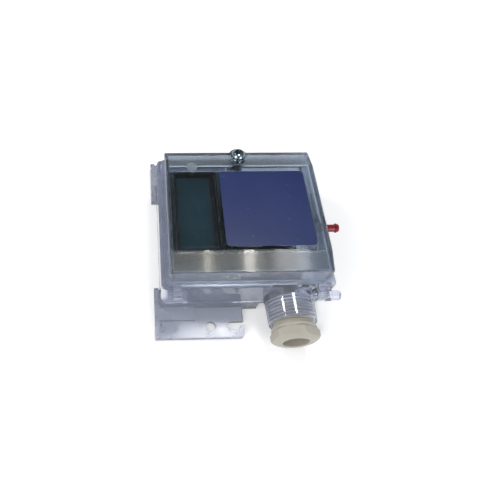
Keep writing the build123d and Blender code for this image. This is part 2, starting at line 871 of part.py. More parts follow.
def display_span(inset):
    """X and Y spans of the display frame's outline, drawn in by an inset."""
    half_x = window_width / 2 + display_frame_wall - inset
    half_y = window_depth / 2 + display_frame_wall - inset
    x_span = (window_centre_x - half_x, window_centre_x + half_x)
    return x_span, (panel_centre_y - half_y, panel_centre_y + half_y)


def make_display_frame():
    """Black frame on four legs, a step inside it carrying the display's glass."""
    outer_x, outer_y = display_span(0)
    inner_x, inner_y = display_span(display_frame_wall)
    step_x = (inner_x[0], inner_x[1] - display_dark_border)
    frame = block(outer_x, outer_y, (display_frame_foot_z, display_top_z))
    frame -= block(inner_x, inner_y, (glass_top_z, display_top_z))
    frame -= block(step_x, inner_y, (glass_top_z - display_glass_thickness - display_glass_gap, glass_top_z))
    frame -= block((inner_x[0] + display_ledge, inner_x[1] - display_dark_ledge),
                   (inner_y[0] + display_ledge, inner_y[1] - display_ledge),
                   (display_frame_foot_z, glass_top_z))
    for x in (outer_x[0], outer_x[1] - display_leg):
        for y in (outer_y[0], outer_y[1] - display_leg):
            frame += block((x, x + display_leg), (y, y + display_leg), (board_top_z, display_frame_foot_z))
    return frame


def make_display_glass():
    """Liquid crystal glass seated in the frame."""
    inner_x, inner_y = display_span(display_frame_wall + display_glass_gap)
    foot = glass_top_z - display_glass_thickness - display_glass_gap
    x_span = (inner_x[0], inner_x[1] - display_dark_border)
    return block(x_span, inner_y, (foot, foot + display_glass_thickness))


def make_display_pins():
    """Row of contact pins between the board and the display's glass."""
    inner_x, inner_y = display_span(display_frame_wall + display_glass_gap)
    foot = glass_top_z - display_glass_thickness - display_glass_gap
    row_x = inner_x[0] + display_pin_inset
    pitch = (inner_y[1] - inner_y[0] - 2 * display_pin_margin) / (display_pin_count - 1)
    pins = []
    for number in range(display_pin_count):
        y = inner_y[0] + display_pin_margin + number * pitch
        pins.append(block((row_x - display_pin / 2, row_x + display_pin / 2),
                          (y - display_pin / 2, y + display_pin / 2), (board_top_z, foot)))
    return Compound(pins)


# Terminal block
terminal_front_y = board_notch_y - terminal_notch_gap
clamp_foot_z = board_top_z + terminal_floor
clamp_cell_top_z = clamp_foot_z + clamp_height + clamp_travel + clamp_gap
terminal_screw_seat_z = clamp_cell_top_z + terminal_web


def pole_x(number):
    """Middle of one pole of the terminal block."""
    return terminal_centre_x + (number - (terminal_poles - 1) / 2) * terminal_pitch


def make_terminal_block():
    """Terminal housing with a wire mouth, a clamp cell and a screw well to each pole."""
    half_length = terminal_poles * terminal_pitch / 2 + terminal_end_wall
    back_y = terminal_front_y + terminal_depth
    top_z = board_top_z + terminal_height
    body = block((terminal_centre_x - half_length, terminal_centre_x + half_length),
                 (terminal_front_y, back_y), (board_top_z, top_z))
    rear_top = body.edges().filter_by(Axis.X).sort_by(lambda e: e.center().Y + e.center().Z)[-1]
    body = chamfer(rear_top, terminal_rear_edge)
    for number in range(terminal_poles):
        x = pole_x(number)
        half_cell = clamp_width / 2 + clamp_gap
        cell_y = terminal_front_y + terminal_front_wall
        body -= block((x - half_cell, x + half_cell), (cell_y, cell_y + clamp_depth + 2 * clamp_gap),
                      (clamp_foot_z - clamp_gap, clamp_cell_top_z))
        body -= block((x - terminal_mouth_half, x + terminal_mouth_half), (terminal_front_y - 1, cell_y),
                      (clamp_foot_z, clamp_foot_z + clamp_height - clamp_wall))
        well_y = cell_y + clamp_gap + clamp_depth / 2
        body -= rod_z(x, well_y, (terminal_screw_seat_z, top_z), terminal_screw_head_radius + terminal_fit)
        body -= rod_z(x, well_y, (clamp_cell_top_z - 1, terminal_screw_seat_z + 1),
                      terminal_screw_radius + terminal_fit)
    return body


def make_terminal_clamp(number):
    """Metal cage that rises when its screw is tightened."""
    x = pole_x(number)
    front = terminal_front_y + terminal_front_wall + clamp_gap
    middle_y = front + clamp_depth / 2
    top_z = clamp_foot_z + clamp_height
    cage = block((x - clamp_width / 2, x + clamp_width / 2), (front, front + clamp_depth),
                 (clamp_foot_z, top_z))
    cage -= block((x - clamp_width / 2 + clamp_wall, x + clamp_width / 2 - clamp_wall),
                  (front, front + clamp_depth), (clamp_foot_z + clamp_wall, top_z - clamp_wall))
    return cage - rod_z(x, middle_y, (top_z - clamp_wall - 1, top_z + 1),
                        terminal_screw_radius + terminal_fit)


def make_terminal_screw(number):
    """Slotted screw that turns in place in its well."""
    x = pole_x(number)
    y = terminal_front_y + terminal_front_wall + clamp_gap + clamp_depth / 2
    tip_z = clamp_foot_z + clamp_height - clamp_wall - terminal_screw_tip_gap
    top_z = terminal_screw_seat_z + terminal_screw_head
    screw = rod_z(x, y, (tip_z, terminal_screw_seat_z), terminal_screw_radius)
    screw += rod_z(x, y, (terminal_screw_seat_z, top_z), terminal_screw_head_radius)
    half_width = terminal_screw_head_radius + 1
    half_slot = terminal_slot / 2
    return screw - block((x - half_width, x + half_width), (y - half_slot, y + half_slot),
                         (top_z - terminal_slot_depth, top_z))


# Small parts on the board
def make_button_case():
    """Square case of the zero button, with a well for its plunger."""
    half = button_case / 2
    top_z = board_top_z + button_case_height
    case = block((button_x - half, button_x + half), (button_y - half, button_y + half),
                 (board_top_z, top_z))
    case = chamfer(case.edges().filter_by(Axis.Z), button_case_corner)
    well_foot = board_top_z + button_well_floor
    return case - rod_z(button_x, button_y, (well_foot, top_z + 1), button_radius + button_fit)


def make_button():
    """Plunger of the zero button."""
    foot_z = board_top_z + button_well_floor + button_travel + button_stop_gap
    top_z = board_top_z + button_case_height + button_rise
    plunger = rod_z(button_x, button_y, (foot_z, top_z), button_radius)
    return chamfer(plunger.edges().sort_by(Axis.Z)[-1], button_edge)


def make_chip():
    """Processor with leads along its four sides."""
    half = chip_size / 2
    chip_y = board_half_depth - chip_rear_inset
    foot_z = board_top_z + chip_standoff
    chip = block((chip_x - half, chip_x + half), (chip_y - half, chip_y + half),
                 (foot_z, foot_z + chip_height))
    pieces = chamfer(chip.faces().sort_by(Axis.Z)[-1].edges(), chip_edge)
    leads = int((chip_size - 2 * chip_lead_reach) / chip_lead_pitch)
    reach = half + chip_lead_reach
    half_lead = chip_lead_width / 2
    z_span = (board_top_z, board_top_z + chip_lead_height)
    for number in range(leads):
        x = chip_x + (number - (leads - 1) / 2) * chip_lead_pitch
        y = chip_y + (number - (leads - 1) / 2) * chip_lead_pitch
        pieces += block((x - half_lead, x + half_lead), (chip_y - reach, chip_y + reach), z_span)
        pieces += block((chip_x - reach, chip_x + reach), (y - half_lead, y + half_lead), z_span)
    return pieces


def make_capacitors():
    """Two electrolytic cans with a drawn-in shoulder and a square foot."""
    x = board_right_x - capacitor_right_inset
    rear_y = board_half_depth - capacitor_rear_inset
    foot_top = board_top_z + capacitor_foot
    top_z = board_top_z + capacitor_height
    cans = []
    for y in (rear_y - capacitor_pitch, rear_y):
        can = rod_z(x, y, (foot_top, top_z), capacitor_radius)
        can = chamfer(can.edges().sort_by(Axis.Z)[-1], capacitor_shoulder)
        half = capacitor_radius
        can += block((x - half, x + half), (y - half, y + half), (board_top_z, foot_top))
        cans.append(can)
    return Compound(cans)


def make_small_parts():
    """Rows of small resistors and diodes."""
    pieces = []
    for row in range(small_part_rows):
        y = board_notch_y + small_part_front_inset + row * small_part_pitch
        for column, (length, width, height) in enumerate((resistor_size, diode_size)):
            x = small_part_x + column * small_part_column
            pieces.append(block((x - length / 2, x + length / 2), (y - width / 2, y + width / 2),
                                (board_top_z, board_top_z + height)))
    return Compound(pieces)


# Pressure sensor and hoses
sensor_top_z = board_foot_z
sensor_port_z = sensor_top_z - sensor_height / 2
sensor_right_x = sensor_centre_x + sensor_length / 2
port_end_x = sensor_right_x + sensor_port_length


def make_sensor():
    """Sensor block fixed under the board, with two ports towards the nozzles."""
    half_y = sensor_depth / 2
    body = block((sensor_centre_x - sensor_length / 2, sensor_right_x),
                 (sensor_centre_y - half_y, sensor_centre_y + half_y),
                 (sensor_top_z - sensor_height, sensor_top_z))
    body = chamfer(body.faces().sort_by(Axis.Z)[0].edges(), sensor_edge)
    for side in (-1, 1):
        y = sensor_centre_y + side * sensor_port_spacing / 2
        body += rod_x((sensor_right_x - 1, port_end_x), y, sensor_port_z, tail_radius)
        body -= rod_x((sensor_right_x - sensor_port_bore, port_end_x + 1), y, sensor_port_z,
                      tail_radius - sensor_port_wall)
    return body


def make_hose(nozzle_z, port_side):
    """Soft hose pushed over a nozzle's tail and a sensor port."""
    port_y = sensor_centre_y + port_side * sensor_port_spacing / 2
    start = (tub_inner_x - tail_step - hose_end_gap, nozzle_y, nozzle_z)
    straight = (tub_inner_x - tail_length - hose_straight, nozzle_y, nozzle_z)
    turn = (port_end_x + hose_straight, port_y, sensor_port_z)
    end = (sensor_right_x + hose_end_gap, port_y, sensor_port_z)
    path = FilletPolyline(start, straight, turn, end, radius=hose_bend_radius)
    section_plane = Plane(origin=start, z_dir=(-1, 0, 0))
    bore_radius = tail_radius + hose_fit
    wall = sweep(section_plane * Circle(bore_radius + hose_wall), path)
    return wall - sweep(section_plane * Circle(bore_radius), path)


parts = {
    "base_housing": make_base_housing(),
    "lid_gasket": make_lid_gasket(),
    "lid": make_lid(),
    "lid_label": make_lid_label(),
    "lid_screw": make_lid_screw(),
    "lid_screw_washer": make_lid_screw_washer(),
    "gland_seal": make_gland_seal(),
    "gland_thrust_ring": make_gland_thrust_ring(),
    "gland_nut": make_gland_nut(),
    "red_nozzle": make_nozzle(red_nozzle_z, red_nozzle_end_x),
    "clear_nozzle": make_nozzle(clear_nozzle_z, clear_nozzle_end_x),
    "nozzle_o_rings": make_nozzle_o_rings(),
    "mounting_bracket": make_bracket(),
    "bracket_screws": make_bracket_screws(),
    "circuit_board": make_board(),
    "board_screws": make_board_screws(),
    "display_frame": make_display_frame(),
    "display_glass": make_display_glass(),
    "display_pins": make_display_pins(),
    "terminal_block": make_terminal_block(),
    "zero_button_case": make_button_case(),
    "zero_button": make_button(),
    "processor_chip": make_chip(),
    "capacitors": make_capacitors(),
    "small_parts": make_small_parts(),
    "pressure_sensor": make_sensor(),
    "red_nozzle_hose": make_hose(red_nozzle_z, 1),
    "clear_nozzle_hose": make_hose(clear_nozzle_z, -1),
}
for pole in range(terminal_poles):
    parts[f"terminal_clamp_{pole + 1}"] = make_terminal_clamp(pole)
    parts[f"terminal_screw_{pole + 1}"] = make_terminal_screw(pole)

for name, shape in parts.items():
    export_step(shape, f"parts/{name}.step")
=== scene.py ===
import math

import bmesh
import bpy
from mathutils import Matrix, Vector


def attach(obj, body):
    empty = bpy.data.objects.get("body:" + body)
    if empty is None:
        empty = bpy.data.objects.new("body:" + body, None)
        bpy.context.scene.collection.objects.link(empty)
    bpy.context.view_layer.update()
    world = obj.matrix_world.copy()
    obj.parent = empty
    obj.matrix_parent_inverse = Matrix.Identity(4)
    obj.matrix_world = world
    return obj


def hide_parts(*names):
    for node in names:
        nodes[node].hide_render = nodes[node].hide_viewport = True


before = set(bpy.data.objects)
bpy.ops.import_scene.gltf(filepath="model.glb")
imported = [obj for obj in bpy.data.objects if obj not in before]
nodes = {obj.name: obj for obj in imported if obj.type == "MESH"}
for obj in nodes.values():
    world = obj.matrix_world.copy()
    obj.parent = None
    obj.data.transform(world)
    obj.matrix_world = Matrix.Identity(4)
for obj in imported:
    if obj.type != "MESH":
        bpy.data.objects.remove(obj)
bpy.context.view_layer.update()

# Camera
# Placed at the photograph's own viewpoint, a little left of the housing and high in front of it.
# The lens and the small shift give the photograph's frame.
camera_place = (-0.05407, -0.13942, 0.24644)
camera_right = (0.999, -0.0323, 0.0294)
camera_up = (0.0134, 0.8671, 0.4979)
camera_back = (-0.0416, -0.497, 0.8667)
camera = bpy.data.objects.new("camera", bpy.data.cameras.new("camera"))
camera_turn = Matrix((camera_right, camera_up, camera_back)).transposed().to_4x4()
camera.matrix_world = Matrix.Translation(camera_place) @ camera_turn
camera.data.lens = 36.09
camera.data.sensor_width = 36.0
camera.data.shift_x = 0.167
camera.data.shift_y = -0.002
camera.data.clip_start = 0.01
camera.data.clip_end = 20.0
bpy.context.scene.collection.objects.link(camera)
bpy.context.scene.camera = camera
bpy.context.scene.view_settings.view_transform = "Standard"

# Floor and light
# A plain pale sheet under the part, a sky that is bright near the horizon and dim overhead, a large soft key
# lamp from the front left, a weak fill, and small lamps whose reflections run down the gland and the lid.
def add(tree, kind, inputs=None, **settings):
    """New node with its settings, and its inputs set to values or joined to sockets."""
    made = tree.nodes.new(kind)
    for key, value in settings.items():
        setattr(made, key, value)
    for key, value in (inputs or {}).items():
        if isinstance(value, bpy.types.NodeSocket):
            tree.links.new(value, made.inputs[key])
        else:
            made.inputs[key].default_value = value
    return made


def calc(tree, operation, *values):
    """Result of one operation on numbers or sockets."""
    return add(tree, "ShaderNodeMath", dict(enumerate(values)), operation=operation).outputs[0]


def mix_colour(tree, share, one, other):
    """Colour that goes from one to the other by a share."""
    return add(tree, "ShaderNodeMix", {0: share, 6: one, 7: other}, data_type="RGBA").outputs[2]


def shaded(name, **inputs):
    """New material with one Principled BSDF. Returns the material, its tree and the shader."""
    material = bpy.data.materials.new(name)
    material.use_nodes = True
    tree = material.node_tree
    shader = tree.nodes["Principled BSDF"]
    for key, value in inputs.items():
        shader.inputs[key.replace("_", " ")].default_value = value
    return material, tree, shader


def seen_share(tree, *rays):
    """1 for the named kinds of ray and 0 for the rest."""
    path = add(tree, "ShaderNodeLightPath")
    share = path.outputs[rays[0]]
    for ray in rays[1:]:
        share = calc(tree, "MAXIMUM", share, path.outputs[ray])
    return share


def lamp(name, place, target, size, power, colour):
    """Rectangular area lamp that faces a point."""
    data = bpy.data.lights.new(name, "AREA")
    data.shape = "RECTANGLE"
    data.size, data.size_y = size
    data.energy = power
    data.color = colour
    made = bpy.data.objects.new(name, data)
    made.location = place
    made.rotation_euler = (Vector(target) - Vector(place)).to_track_quat("-Z", "Y").to_euler()
    bpy.context.scene.collection.objects.link(made)


floor_reach = 1.1
floor_glow = 0.34
floor_mesh = bmesh.new()
bmesh.ops.create_grid(floor_mesh, x_segments=1, y_segments=1, size=floor_reach)
bmesh.ops.translate(floor_mesh, verts=floor_mesh.verts, vec=(0, 0, -0.0002))
floor_data = bpy.data.meshes.new("floor")
floor_mesh.to_mesh(floor_data)
floor = bpy.data.objects.new("floor", floor_data)
bpy.context.scene.collection.objects.link(floor)
floor_paint, tree, shader = shaded("floor_paint", Base_Color=(0.88, 0.88, 0.88, 1), Roughness=0.9,
                                   Specular_IOR_Level=0.1, Emission_Color=(1, 1, 1, 1))
lens_share = seen_share(tree, "Is Camera Ray", "Is Glossy Ray", "Is Transmission Ray")
glow = calc(tree, "MULTIPLY", lens_share, floor_glow)
tree.links.new(glow, shader.inputs["Emission Strength"])
floor_data.materials.append(floor_paint)

world = bpy.data.worlds.new("studio")
world.use_nodes = True
bpy.context.scene.world = world
tree = world.node_tree
sky = tree.nodes["Background"]
height = add(tree, "ShaderNodeSeparateXYZ", {0: add(tree, "ShaderNodeTexCoord").outputs["Generated"]})
dome = add(tree, "ShaderNodeMapRange",
           {"Value": height.outputs["Z"], "From Min": 0.0, "From Max": 0.62, "To Min": 0.95, "To Max": 0.13},
           interpolation_type="SMOOTHSTEP")
lens_share = seen_share(tree, "Is Camera Ray")
tint = mix_colour(tree, lens_share, (0.93, 0.96, 1.0, 1), (1.0, 1.0, 1.0, 1))
tree.links.new(tint, sky.inputs["Color"])
level = calc(tree, "MAXIMUM", dome.outputs[0], lens_share)
tree.links.new(level, sky.inputs["Strength"])

lamp("key_lamp", (-0.55, -0.45, 0.60), (0, 0, 0.02), (0.50, 0.50), 3.3, (1.0, 0.99, 0.97))
lamp("fill_lamp", (0.45, -0.60, 0.38), (0, 0, 0.02), (0.40, 0.40), 2.0, (0.92, 0.93, 1.0))
lamp("left_lamp", (-0.50, 0.23, 0.55), (0, 0, 0.02), (0.11, 0.11), 1.0, (1.0, 1.0, 1.0))
lamp("rear_lamp", (0.124, 0.226, 0.759), (0, 0, 0.02), (0.14, 0.14), 1.5, (1.0, 1.0, 1.0))
lamp("top_panel", (0.06, -0.032, 0.62), (0, -0.032, 0.03), (0.10, 0.36), 0.20, (0.98, 0.99, 1.0))
lamp("left_strip", (0.036, -0.032, 0.60), (0, -0.032, 0.03), (0.10, 0.012), 0.045, (1.0, 0.93, 0.80))
lamp("right_strip", (0.125, -0.032, 0.60), (0, -0.032, 0.03), (0.10, 0.022), 0.085, (1.0, 0.96, 0.88))
lamp("wide_strip", (0.216, -0.032, 0.60), (0, -0.032, 0.03), (0.10, 0.070), 0.09, (0.96, 0.97, 1.0))

# Base housing
# One moulding of clear polycarbonate: tub, rim, skirt, gland collar, hinge lugs and bosses.
# Its walls are smooth, with the faint lavender tint and slow waves of a thick clear moulding.
def object_place(tree):
    """Place on the object, for a texture."""
    return add(tree, "ShaderNodeTexCoord").outputs["Object"]


def open_group(name, kind, inputs, outputs):
    """New node group with named sockets. Returns the tree, its inputs and its outputs."""
    tree = bpy.data.node_groups.new(name, kind)
    for label, socket, value in inputs:
        made = tree.interface.new_socket(label, in_out="INPUT", socket_type="NodeSocket" + socket)
        if value is not None:
            made.default_value = value
    for label, socket in outputs:
        tree.interface.new_socket(label, in_out="OUTPUT", socket_type="NodeSocket" + socket)
    given = tree.nodes.new("NodeGroupInput")
    result = tree.nodes.new("NodeGroupOutput")
    return tree, given.outputs, result.inputs


def skin_group():
    """Shader group for moulded skin: slow drift of the colour, and the fine grain of the tool as a height."""
    tree, given, result = open_group(
        "moulded_skin", "ShaderNodeTree",
        (("Color", "Color", None), ("Drift", "Float", 0.1), ("Drift Scale", "Float", 60.0),
         ("Grain Scale", "Float", 2500.0), ("Roughness", "Float", 0.4), ("Roughness Drift", "Float", 0.1)),
        (("Color", "Color"), ("Roughness", "Float"), ("Height", "Float")))
    place = object_place(tree)
    slow = add(tree, "ShaderNodeTexNoise",
               {"Vector": place, "Scale": given["Drift Scale"], "Detail": 3.0, "Roughness": 0.6})
    swing = add(tree, "ShaderNodeMapRange",
                {"Value": slow.outputs["Fac"], "From Min": 0.3, "From Max": 0.7, "To Min": -0.5,
                 "To Max": 0.5}).outputs[0]
    amount = calc(tree, "MULTIPLY_ADD", swing, given["Drift"], 1.0)
    tinted = add(tree, "ShaderNodeVectorMath", {0: given["Color"], "Scale": amount}, operation="SCALE")
    rough = calc(tree, "MULTIPLY_ADD", swing, given["Roughness Drift"], given["Roughness"])
    grain = add(tree, "ShaderNodeTexNoise", {"Vector": place, "Scale": given["Grain Scale"], "Detail": 2.0})
    tree.links.new(tinted.outputs[0], result["Color"])
    tree.links.new(rough, result["Roughness"])
    tree.links.new(grain.outputs["Fac"], result["Height"])
    return tree


def handling_group():
    """Shader group for use: hairline scratches in two directions, and specks of dust."""
    hairline = 0.004
    patch_level = 0.62
    speck_reach = 0.22
    tree, given, result = open_group(
        "handling", "ShaderNodeTree",
        (("Scratch Scale", "Float", 220.0), ("Scratch Share", "Float", 0.06), ("Dust Scale", "Float", 2200.0),
         ("Dust Share", "Float", 0.05)),
        (("Scratches", "Float"), ("Dust", "Float")))
    place = object_place(tree)
    lines = []
    for turn in (0.5, 2.2):
        stretched = add(tree, "ShaderNodeMapping", {"Vector": place, "Rotation": (0, 0, turn), "Scale": (1, 0.03, 1)})
        fine = add(tree, "ShaderNodeTexNoise",
                   {"Vector": stretched.outputs[0], "Scale": given["Scratch Scale"], "Detail": 1.0})
        near = calc(tree, "ABSOLUTE", calc(tree, "SUBTRACT", fine.outputs["Fac"], 0.5))
        lines.append(calc(tree, "LESS_THAN", near, hairline))
    both = calc(tree, "MAXIMUM", *lines)
    where = add(tree, "ShaderNodeTexNoise", {"Vector": place, "Scale": 90.0, "Detail": 2.0})
    low = calc(tree, "SUBTRACT", patch_level, given["Scratch Share"])
    scratches = calc(tree, "MULTIPLY", both, calc(tree, "GREATER_THAN", where.outputs["Fac"], low))
    cells = add(tree, "ShaderNodeTexVoronoi", {"Vector": place, "Scale": given["Dust Scale"]})
    chosen = add(tree, "ShaderNodeSeparateColor", {0: cells.outputs["Color"]})
    kept = calc(tree, "LESS_THAN", chosen.outputs[0], given["Dust Share"])
    dust = calc(tree, "MULTIPLY", kept, calc(tree, "LESS_THAN", cells.outputs["Distance"], speck_reach))
    tree.links.new(scratches, result["Scratches"])
    tree.links.new(dust, result["Dust"])
    return tree


def skinned(name, colour, roughness, grain_scale=2500.0, grain_depth=0.02, drift=0.1, drift_scale=60.0,
            roughness_drift=0.1, **inputs):
    """Material whose colour, roughness and grain come from the moulded skin group.
    Returns the material and the nodes that a finish may change further: tree, shader, skin and bump."""
    material, tree, shader = shaded(name, **inputs)
    skin = add(tree, "ShaderNodeGroup",
               {"Color": (*colour, 1), "Drift": drift, "Drift Scale": drift_scale, "Grain Scale": grain_scale,
                "Roughness": roughness, "Roughness Drift": roughness_drift}, node_tree=moulded_skin)
    bump = add(tree, "ShaderNodeBump",
               {"Height": skin.outputs["Height"], "Strength": 1.0, "Distance": grain_depth * 0.001})
    tree.links.new(skin.outputs["Color"], shader.inputs["Base Color"])
    tree.links.new(skin.outputs["Roughness"], shader.inputs["Roughness"])
    tree.links.new(bump.outputs["Normal"], shader.inputs["Normal"])
    return material, tree, shader, skin, bump


def handled(finish, scratch_roughness=0.25, dust_colour=(0.75, 0.75, 0.72), scratch_scale=220.0,
            scratch_share=0.06, dust_scale=2200.0, dust_share=0.04):
    """Adds hairline scratches to a finish's roughness and dust to its colour."""
    material, tree, shader, skin, bump = finish
    marks = add(tree, "ShaderNodeGroup",
                {"Scratch Scale": scratch_scale, "Scratch Share": scratch_share, "Dust Scale": dust_scale,
                 "Dust Share": dust_share}, node_tree=handling)
    rough = calc(tree, "MULTIPLY_ADD", marks.outputs["Scratches"], scratch_roughness, skin.outputs["Roughness"])
    tree.links.new(rough, shader.inputs["Roughness"])
    dusty = mix_colour(tree, marks.outputs["Dust"], skin.outputs["Color"], (*dust_colour, 1))
    tree.links.new(dusty, shader.inputs["Base Color"])
    return finish


def dress(node, finish):
    """Gives a CAD node its finish."""
    data = nodes[node].data
    data.materials.clear()
    data.materials.append(finish[0])


def waved(finish, scale, depth):
    """Adds the slow waves of a thick clear moulding under a finish's grain."""
    material, tree, shader, skin, bump = finish
    place = object_place(tree)
    slow = add(tree, "ShaderNodeTexNoise", {"Vector": place, "Scale": scale, "Detail": 1.0})
    wave = add(tree, "ShaderNodeBump", {"Height": slow.outputs["Fac"], "Strength": 1.0, "Distance": depth * 0.001})
    tree.links.new(wave.outputs["Normal"], bump.inputs["Normal"])
    return finish


moulded_skin = skin_group()
handling = handling_group()
clear_wall = skinned("clear_wall", (0.81, 0.85, 0.97), 0.06, grain_scale=900.0, grain_depth=0.004, drift=0.06,
                     roughness_drift=0.04, Transmission_Weight=0.86, IOR=1.58)
dress("base_housing", handled(waved(clear_wall, scale=110.0, depth=0.06), scratch_roughness=0.08))

# Lid gasket
# A soft silicone cord pressed into the groove round the housing's rim.
# It is extruded, with a round crown that the lid presses and a seam where its ends meet; the seam is not drawn.
gasket_half_x = 39.1
gasket_half_y = 36.2
gasket_corner = 1.6
gasket_foot_z = 26.2
gasket_section = ((-0.78, 0.02), (0.78, 0.02), (0.80, 0.75), (0.66, 1.12), (0.36, 1.33), (0.0, 1.39),
                  (-0.36, 1.33), (-0.66, 1.12), (-0.80, 0.75))


def joined_rings(shell, rings):
    """Walls from each ring of corners to the next, and from the last to the first."""
    for one, other in zip(rings, rings[1:] + rings[:1]):
        for a, b, c, d in zip(one, other, other[1:] + other[:1], one[1:] + one[:1]):
            shell.faces.new((a, b, c, d))


def corner_loop(half_x, half_y, radius, steps):
    """Points and outward directions of a rectangle with round corners, anticlockwise."""
    loop = []
    for number, (sx, sy) in enumerate(((1, 1), (-1, 1), (-1, -1), (1, -1))):
        for step in range(steps + 1):
            angle = math.pi / 2 * (number + step / steps)
            out = Vector((math.cos(angle), math.sin(angle)))
            loop.append((Vector((sx * (half_x - radius), sy * (half_y - radius))) + out * radius, out))
    return loop


def swept_loop(loop, section, foot_z):
    """Closed shell of a section carried round a loop, in millimetres."""
    shell = bmesh.new()
    rings = []
    for point, out in loop:
        rings.append([shell.verts.new(((point.x + out.x * u) / 1000, (point.y + out.y * u) / 1000,
                                       (foot_z + v) / 1000)) for u, v in section])
    joined_rings(shell, rings)
    bmesh.ops.recalc_face_normals(shell, faces=shell.faces)
    return shell


def piece(name, shell, finish, body, replaced=(), turn=None, sharp=35.0):
    """Makes a shell a piece: in its place, smooth but for its sharp edges, dressed, and riding on a body."""
    if turn is not None:
        bmesh.ops.transform(shell, matrix=turn, verts=shell.verts)
    data = bpy.data.meshes.new(name)
    shell.to_mesh(data)
    shell.free()
    data.shade_smooth()
    data.set_sharp_from_angle(angle=math.radians(sharp))
    data.materials.append(finish[0])
    made = bpy.data.objects.new(name, data)
    bpy.context.scene.collection.objects.link(made)
    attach(made, body)
    if replaced:
        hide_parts(*replaced)
    return made


soft_silicone = handled(skinned("soft_silicone", (0.80, 0.82, 0.87), 0.42, grain_scale=1800.0, grain_depth=0.01,
                                Transmission_Weight=0.10, IOR=1.41), dust_share=0.10)
piece("gasket_cord", swept_loop(corner_loop(gasket_half_x, gasket_half_y, gasket_corner, 8), gasket_section,
                                gasket_foot_z), soft_silicone, "housing", ("lid_gasket",))


# Circuit board
# Green solder mask over etched copper on glass fibre laminate, cut to clear the wiring space.
# The tracks show as slightly raised, lighter green lines, and its plated holes are gilt rings.
def track_group():
    """Shader group for etched tracks under solder mask: bundles of lines that run in X or in Y."""
    line_level = 0.62
    turned_level = 0.5
    bare_level = 0.35
    tree, given, result = open_group("etched_tracks", "ShaderNodeTree",
                                     (("Pitch Scale", "Float", 420.0), ("Patch Scale", "Float", 70.0)),
                                     (("Tracks", "Float"),))
    place = object_place(tree)
    lines = []
    for axis in ("X", "Y"):
        wave = add(tree, "ShaderNodeTexWave", {"Vector": place, "Scale": given["Pitch Scale"]}, bands_direction=axis)
        lines.append(calc(tree, "GREATER_THAN", wave.outputs["Fac"], line_level))
    patches = add(tree, "ShaderNodeTexVoronoi", {"Vector": place, "Scale": given["Patch Scale"]},
                  distance="CHEBYCHEV")
    chosen = add(tree, "ShaderNodeSeparateColor", {0: patches.outputs["Color"]})
    across = calc(tree, "GREATER_THAN", chosen.outputs[0], turned_level)
    kept = calc(tree, "GREATER_THAN", chosen.outputs[1], bare_level)
    line = add(tree, "ShaderNodeMix", {0: across, 2: lines[0], 3: lines[1]})
    tree.links.new(calc(tree, "MULTIPLY", line.outputs[0], kept), result["Tracks"])
    return tree


solder_mask = skinned("solder_mask", (0.045, 0.090, 0.078), 0.32, grain_scale=1500.0, grain_depth=0.01)
material, tree, shader, skin, bump = handled(solder_mask, dust_share=0.08)
tracks = add(tree, "ShaderNodeGroup", node_tree=track_group())
dusty_colour = shader.inputs["Base Color"].links[0].from_socket
tracked = mix_colour(tree, tracks.outputs["Tracks"], dusty_colour, (0.08, 0.15, 0.12, 1))
tree.links.new(tracked, shader.inputs["Base Color"])
raised = add(tree, "ShaderNodeBump",
             {"Height": tracks.outputs["Tracks"], "Strength": 1.0, "Distance": 0.00004,
              "Normal": bump.outputs["Normal"]})
tree.links.new(raised.outputs["Normal"], shader.inputs["Normal"])
dress("circuit_board", solder_mask)

gilt = skinned("gilt", (0.80, 0.62, 0.30), 0.28, grain_scale=3000.0, grain_depth=0.004, drift=0.2,
               drift_scale=300.0, Metallic=1.0)


def growth_tree(name, sizes):
    """Empty geometry node tree with named inputs. Returns the tree, its inputs and its output."""
    inputs = [("Places", "Geometry", None)] + [(label, "Float", value) for label, value in sizes]
    inputs.append(("Finish", "Material", None))
    return open_group(name, "GeometryNodeTree", inputs, (("Pieces", "Geometry"),))


def finish_growth(tree, given, result, grown):
    """Ends a geometry node tree in Realize Instances and Set Material."""
    real = add(tree, "GeometryNodeRealizeInstances", {0: grown})
    painted = add(tree, "GeometryNodeSetMaterial", {"Geometry": real.outputs[0], "Material": given["Finish"]})
    tree.links.new(painted.outputs[0], result["Pieces"])
    return tree


def grown_mesh(name, tree, places, finish, **sizes):
    """Shell of the plain mesh that a geometry node tree makes on a set of points, in metres."""
    points = bpy.data.meshes.new(name + "_places")
    points.from_pydata(places, [], [])
    carrier = bpy.data.objects.new(name + "_carrier", points)
    bpy.context.scene.collection.objects.link(carrier)
    growth = carrier.modifiers.new("growth", "NODES")
    growth.node_group = tree
    sockets = {item.name: item.identifier for item in tree.interface.items_tree if item.in_out == "INPUT"}
    growth[sockets["Finish"]] = finish[0]
    for label, value in sizes.items():
        growth[sockets[label.replace("_", " ")]] = value
    data = bpy.data.meshes.new_from_object(carrier.evaluated_get(bpy.context.evaluated_depsgraph_get()))
    shell = bmesh.new()
    shell.from_mesh(data)
    bpy.data.meshes.remove(data)
    bpy.data.objects.remove(carrier)
    return shell


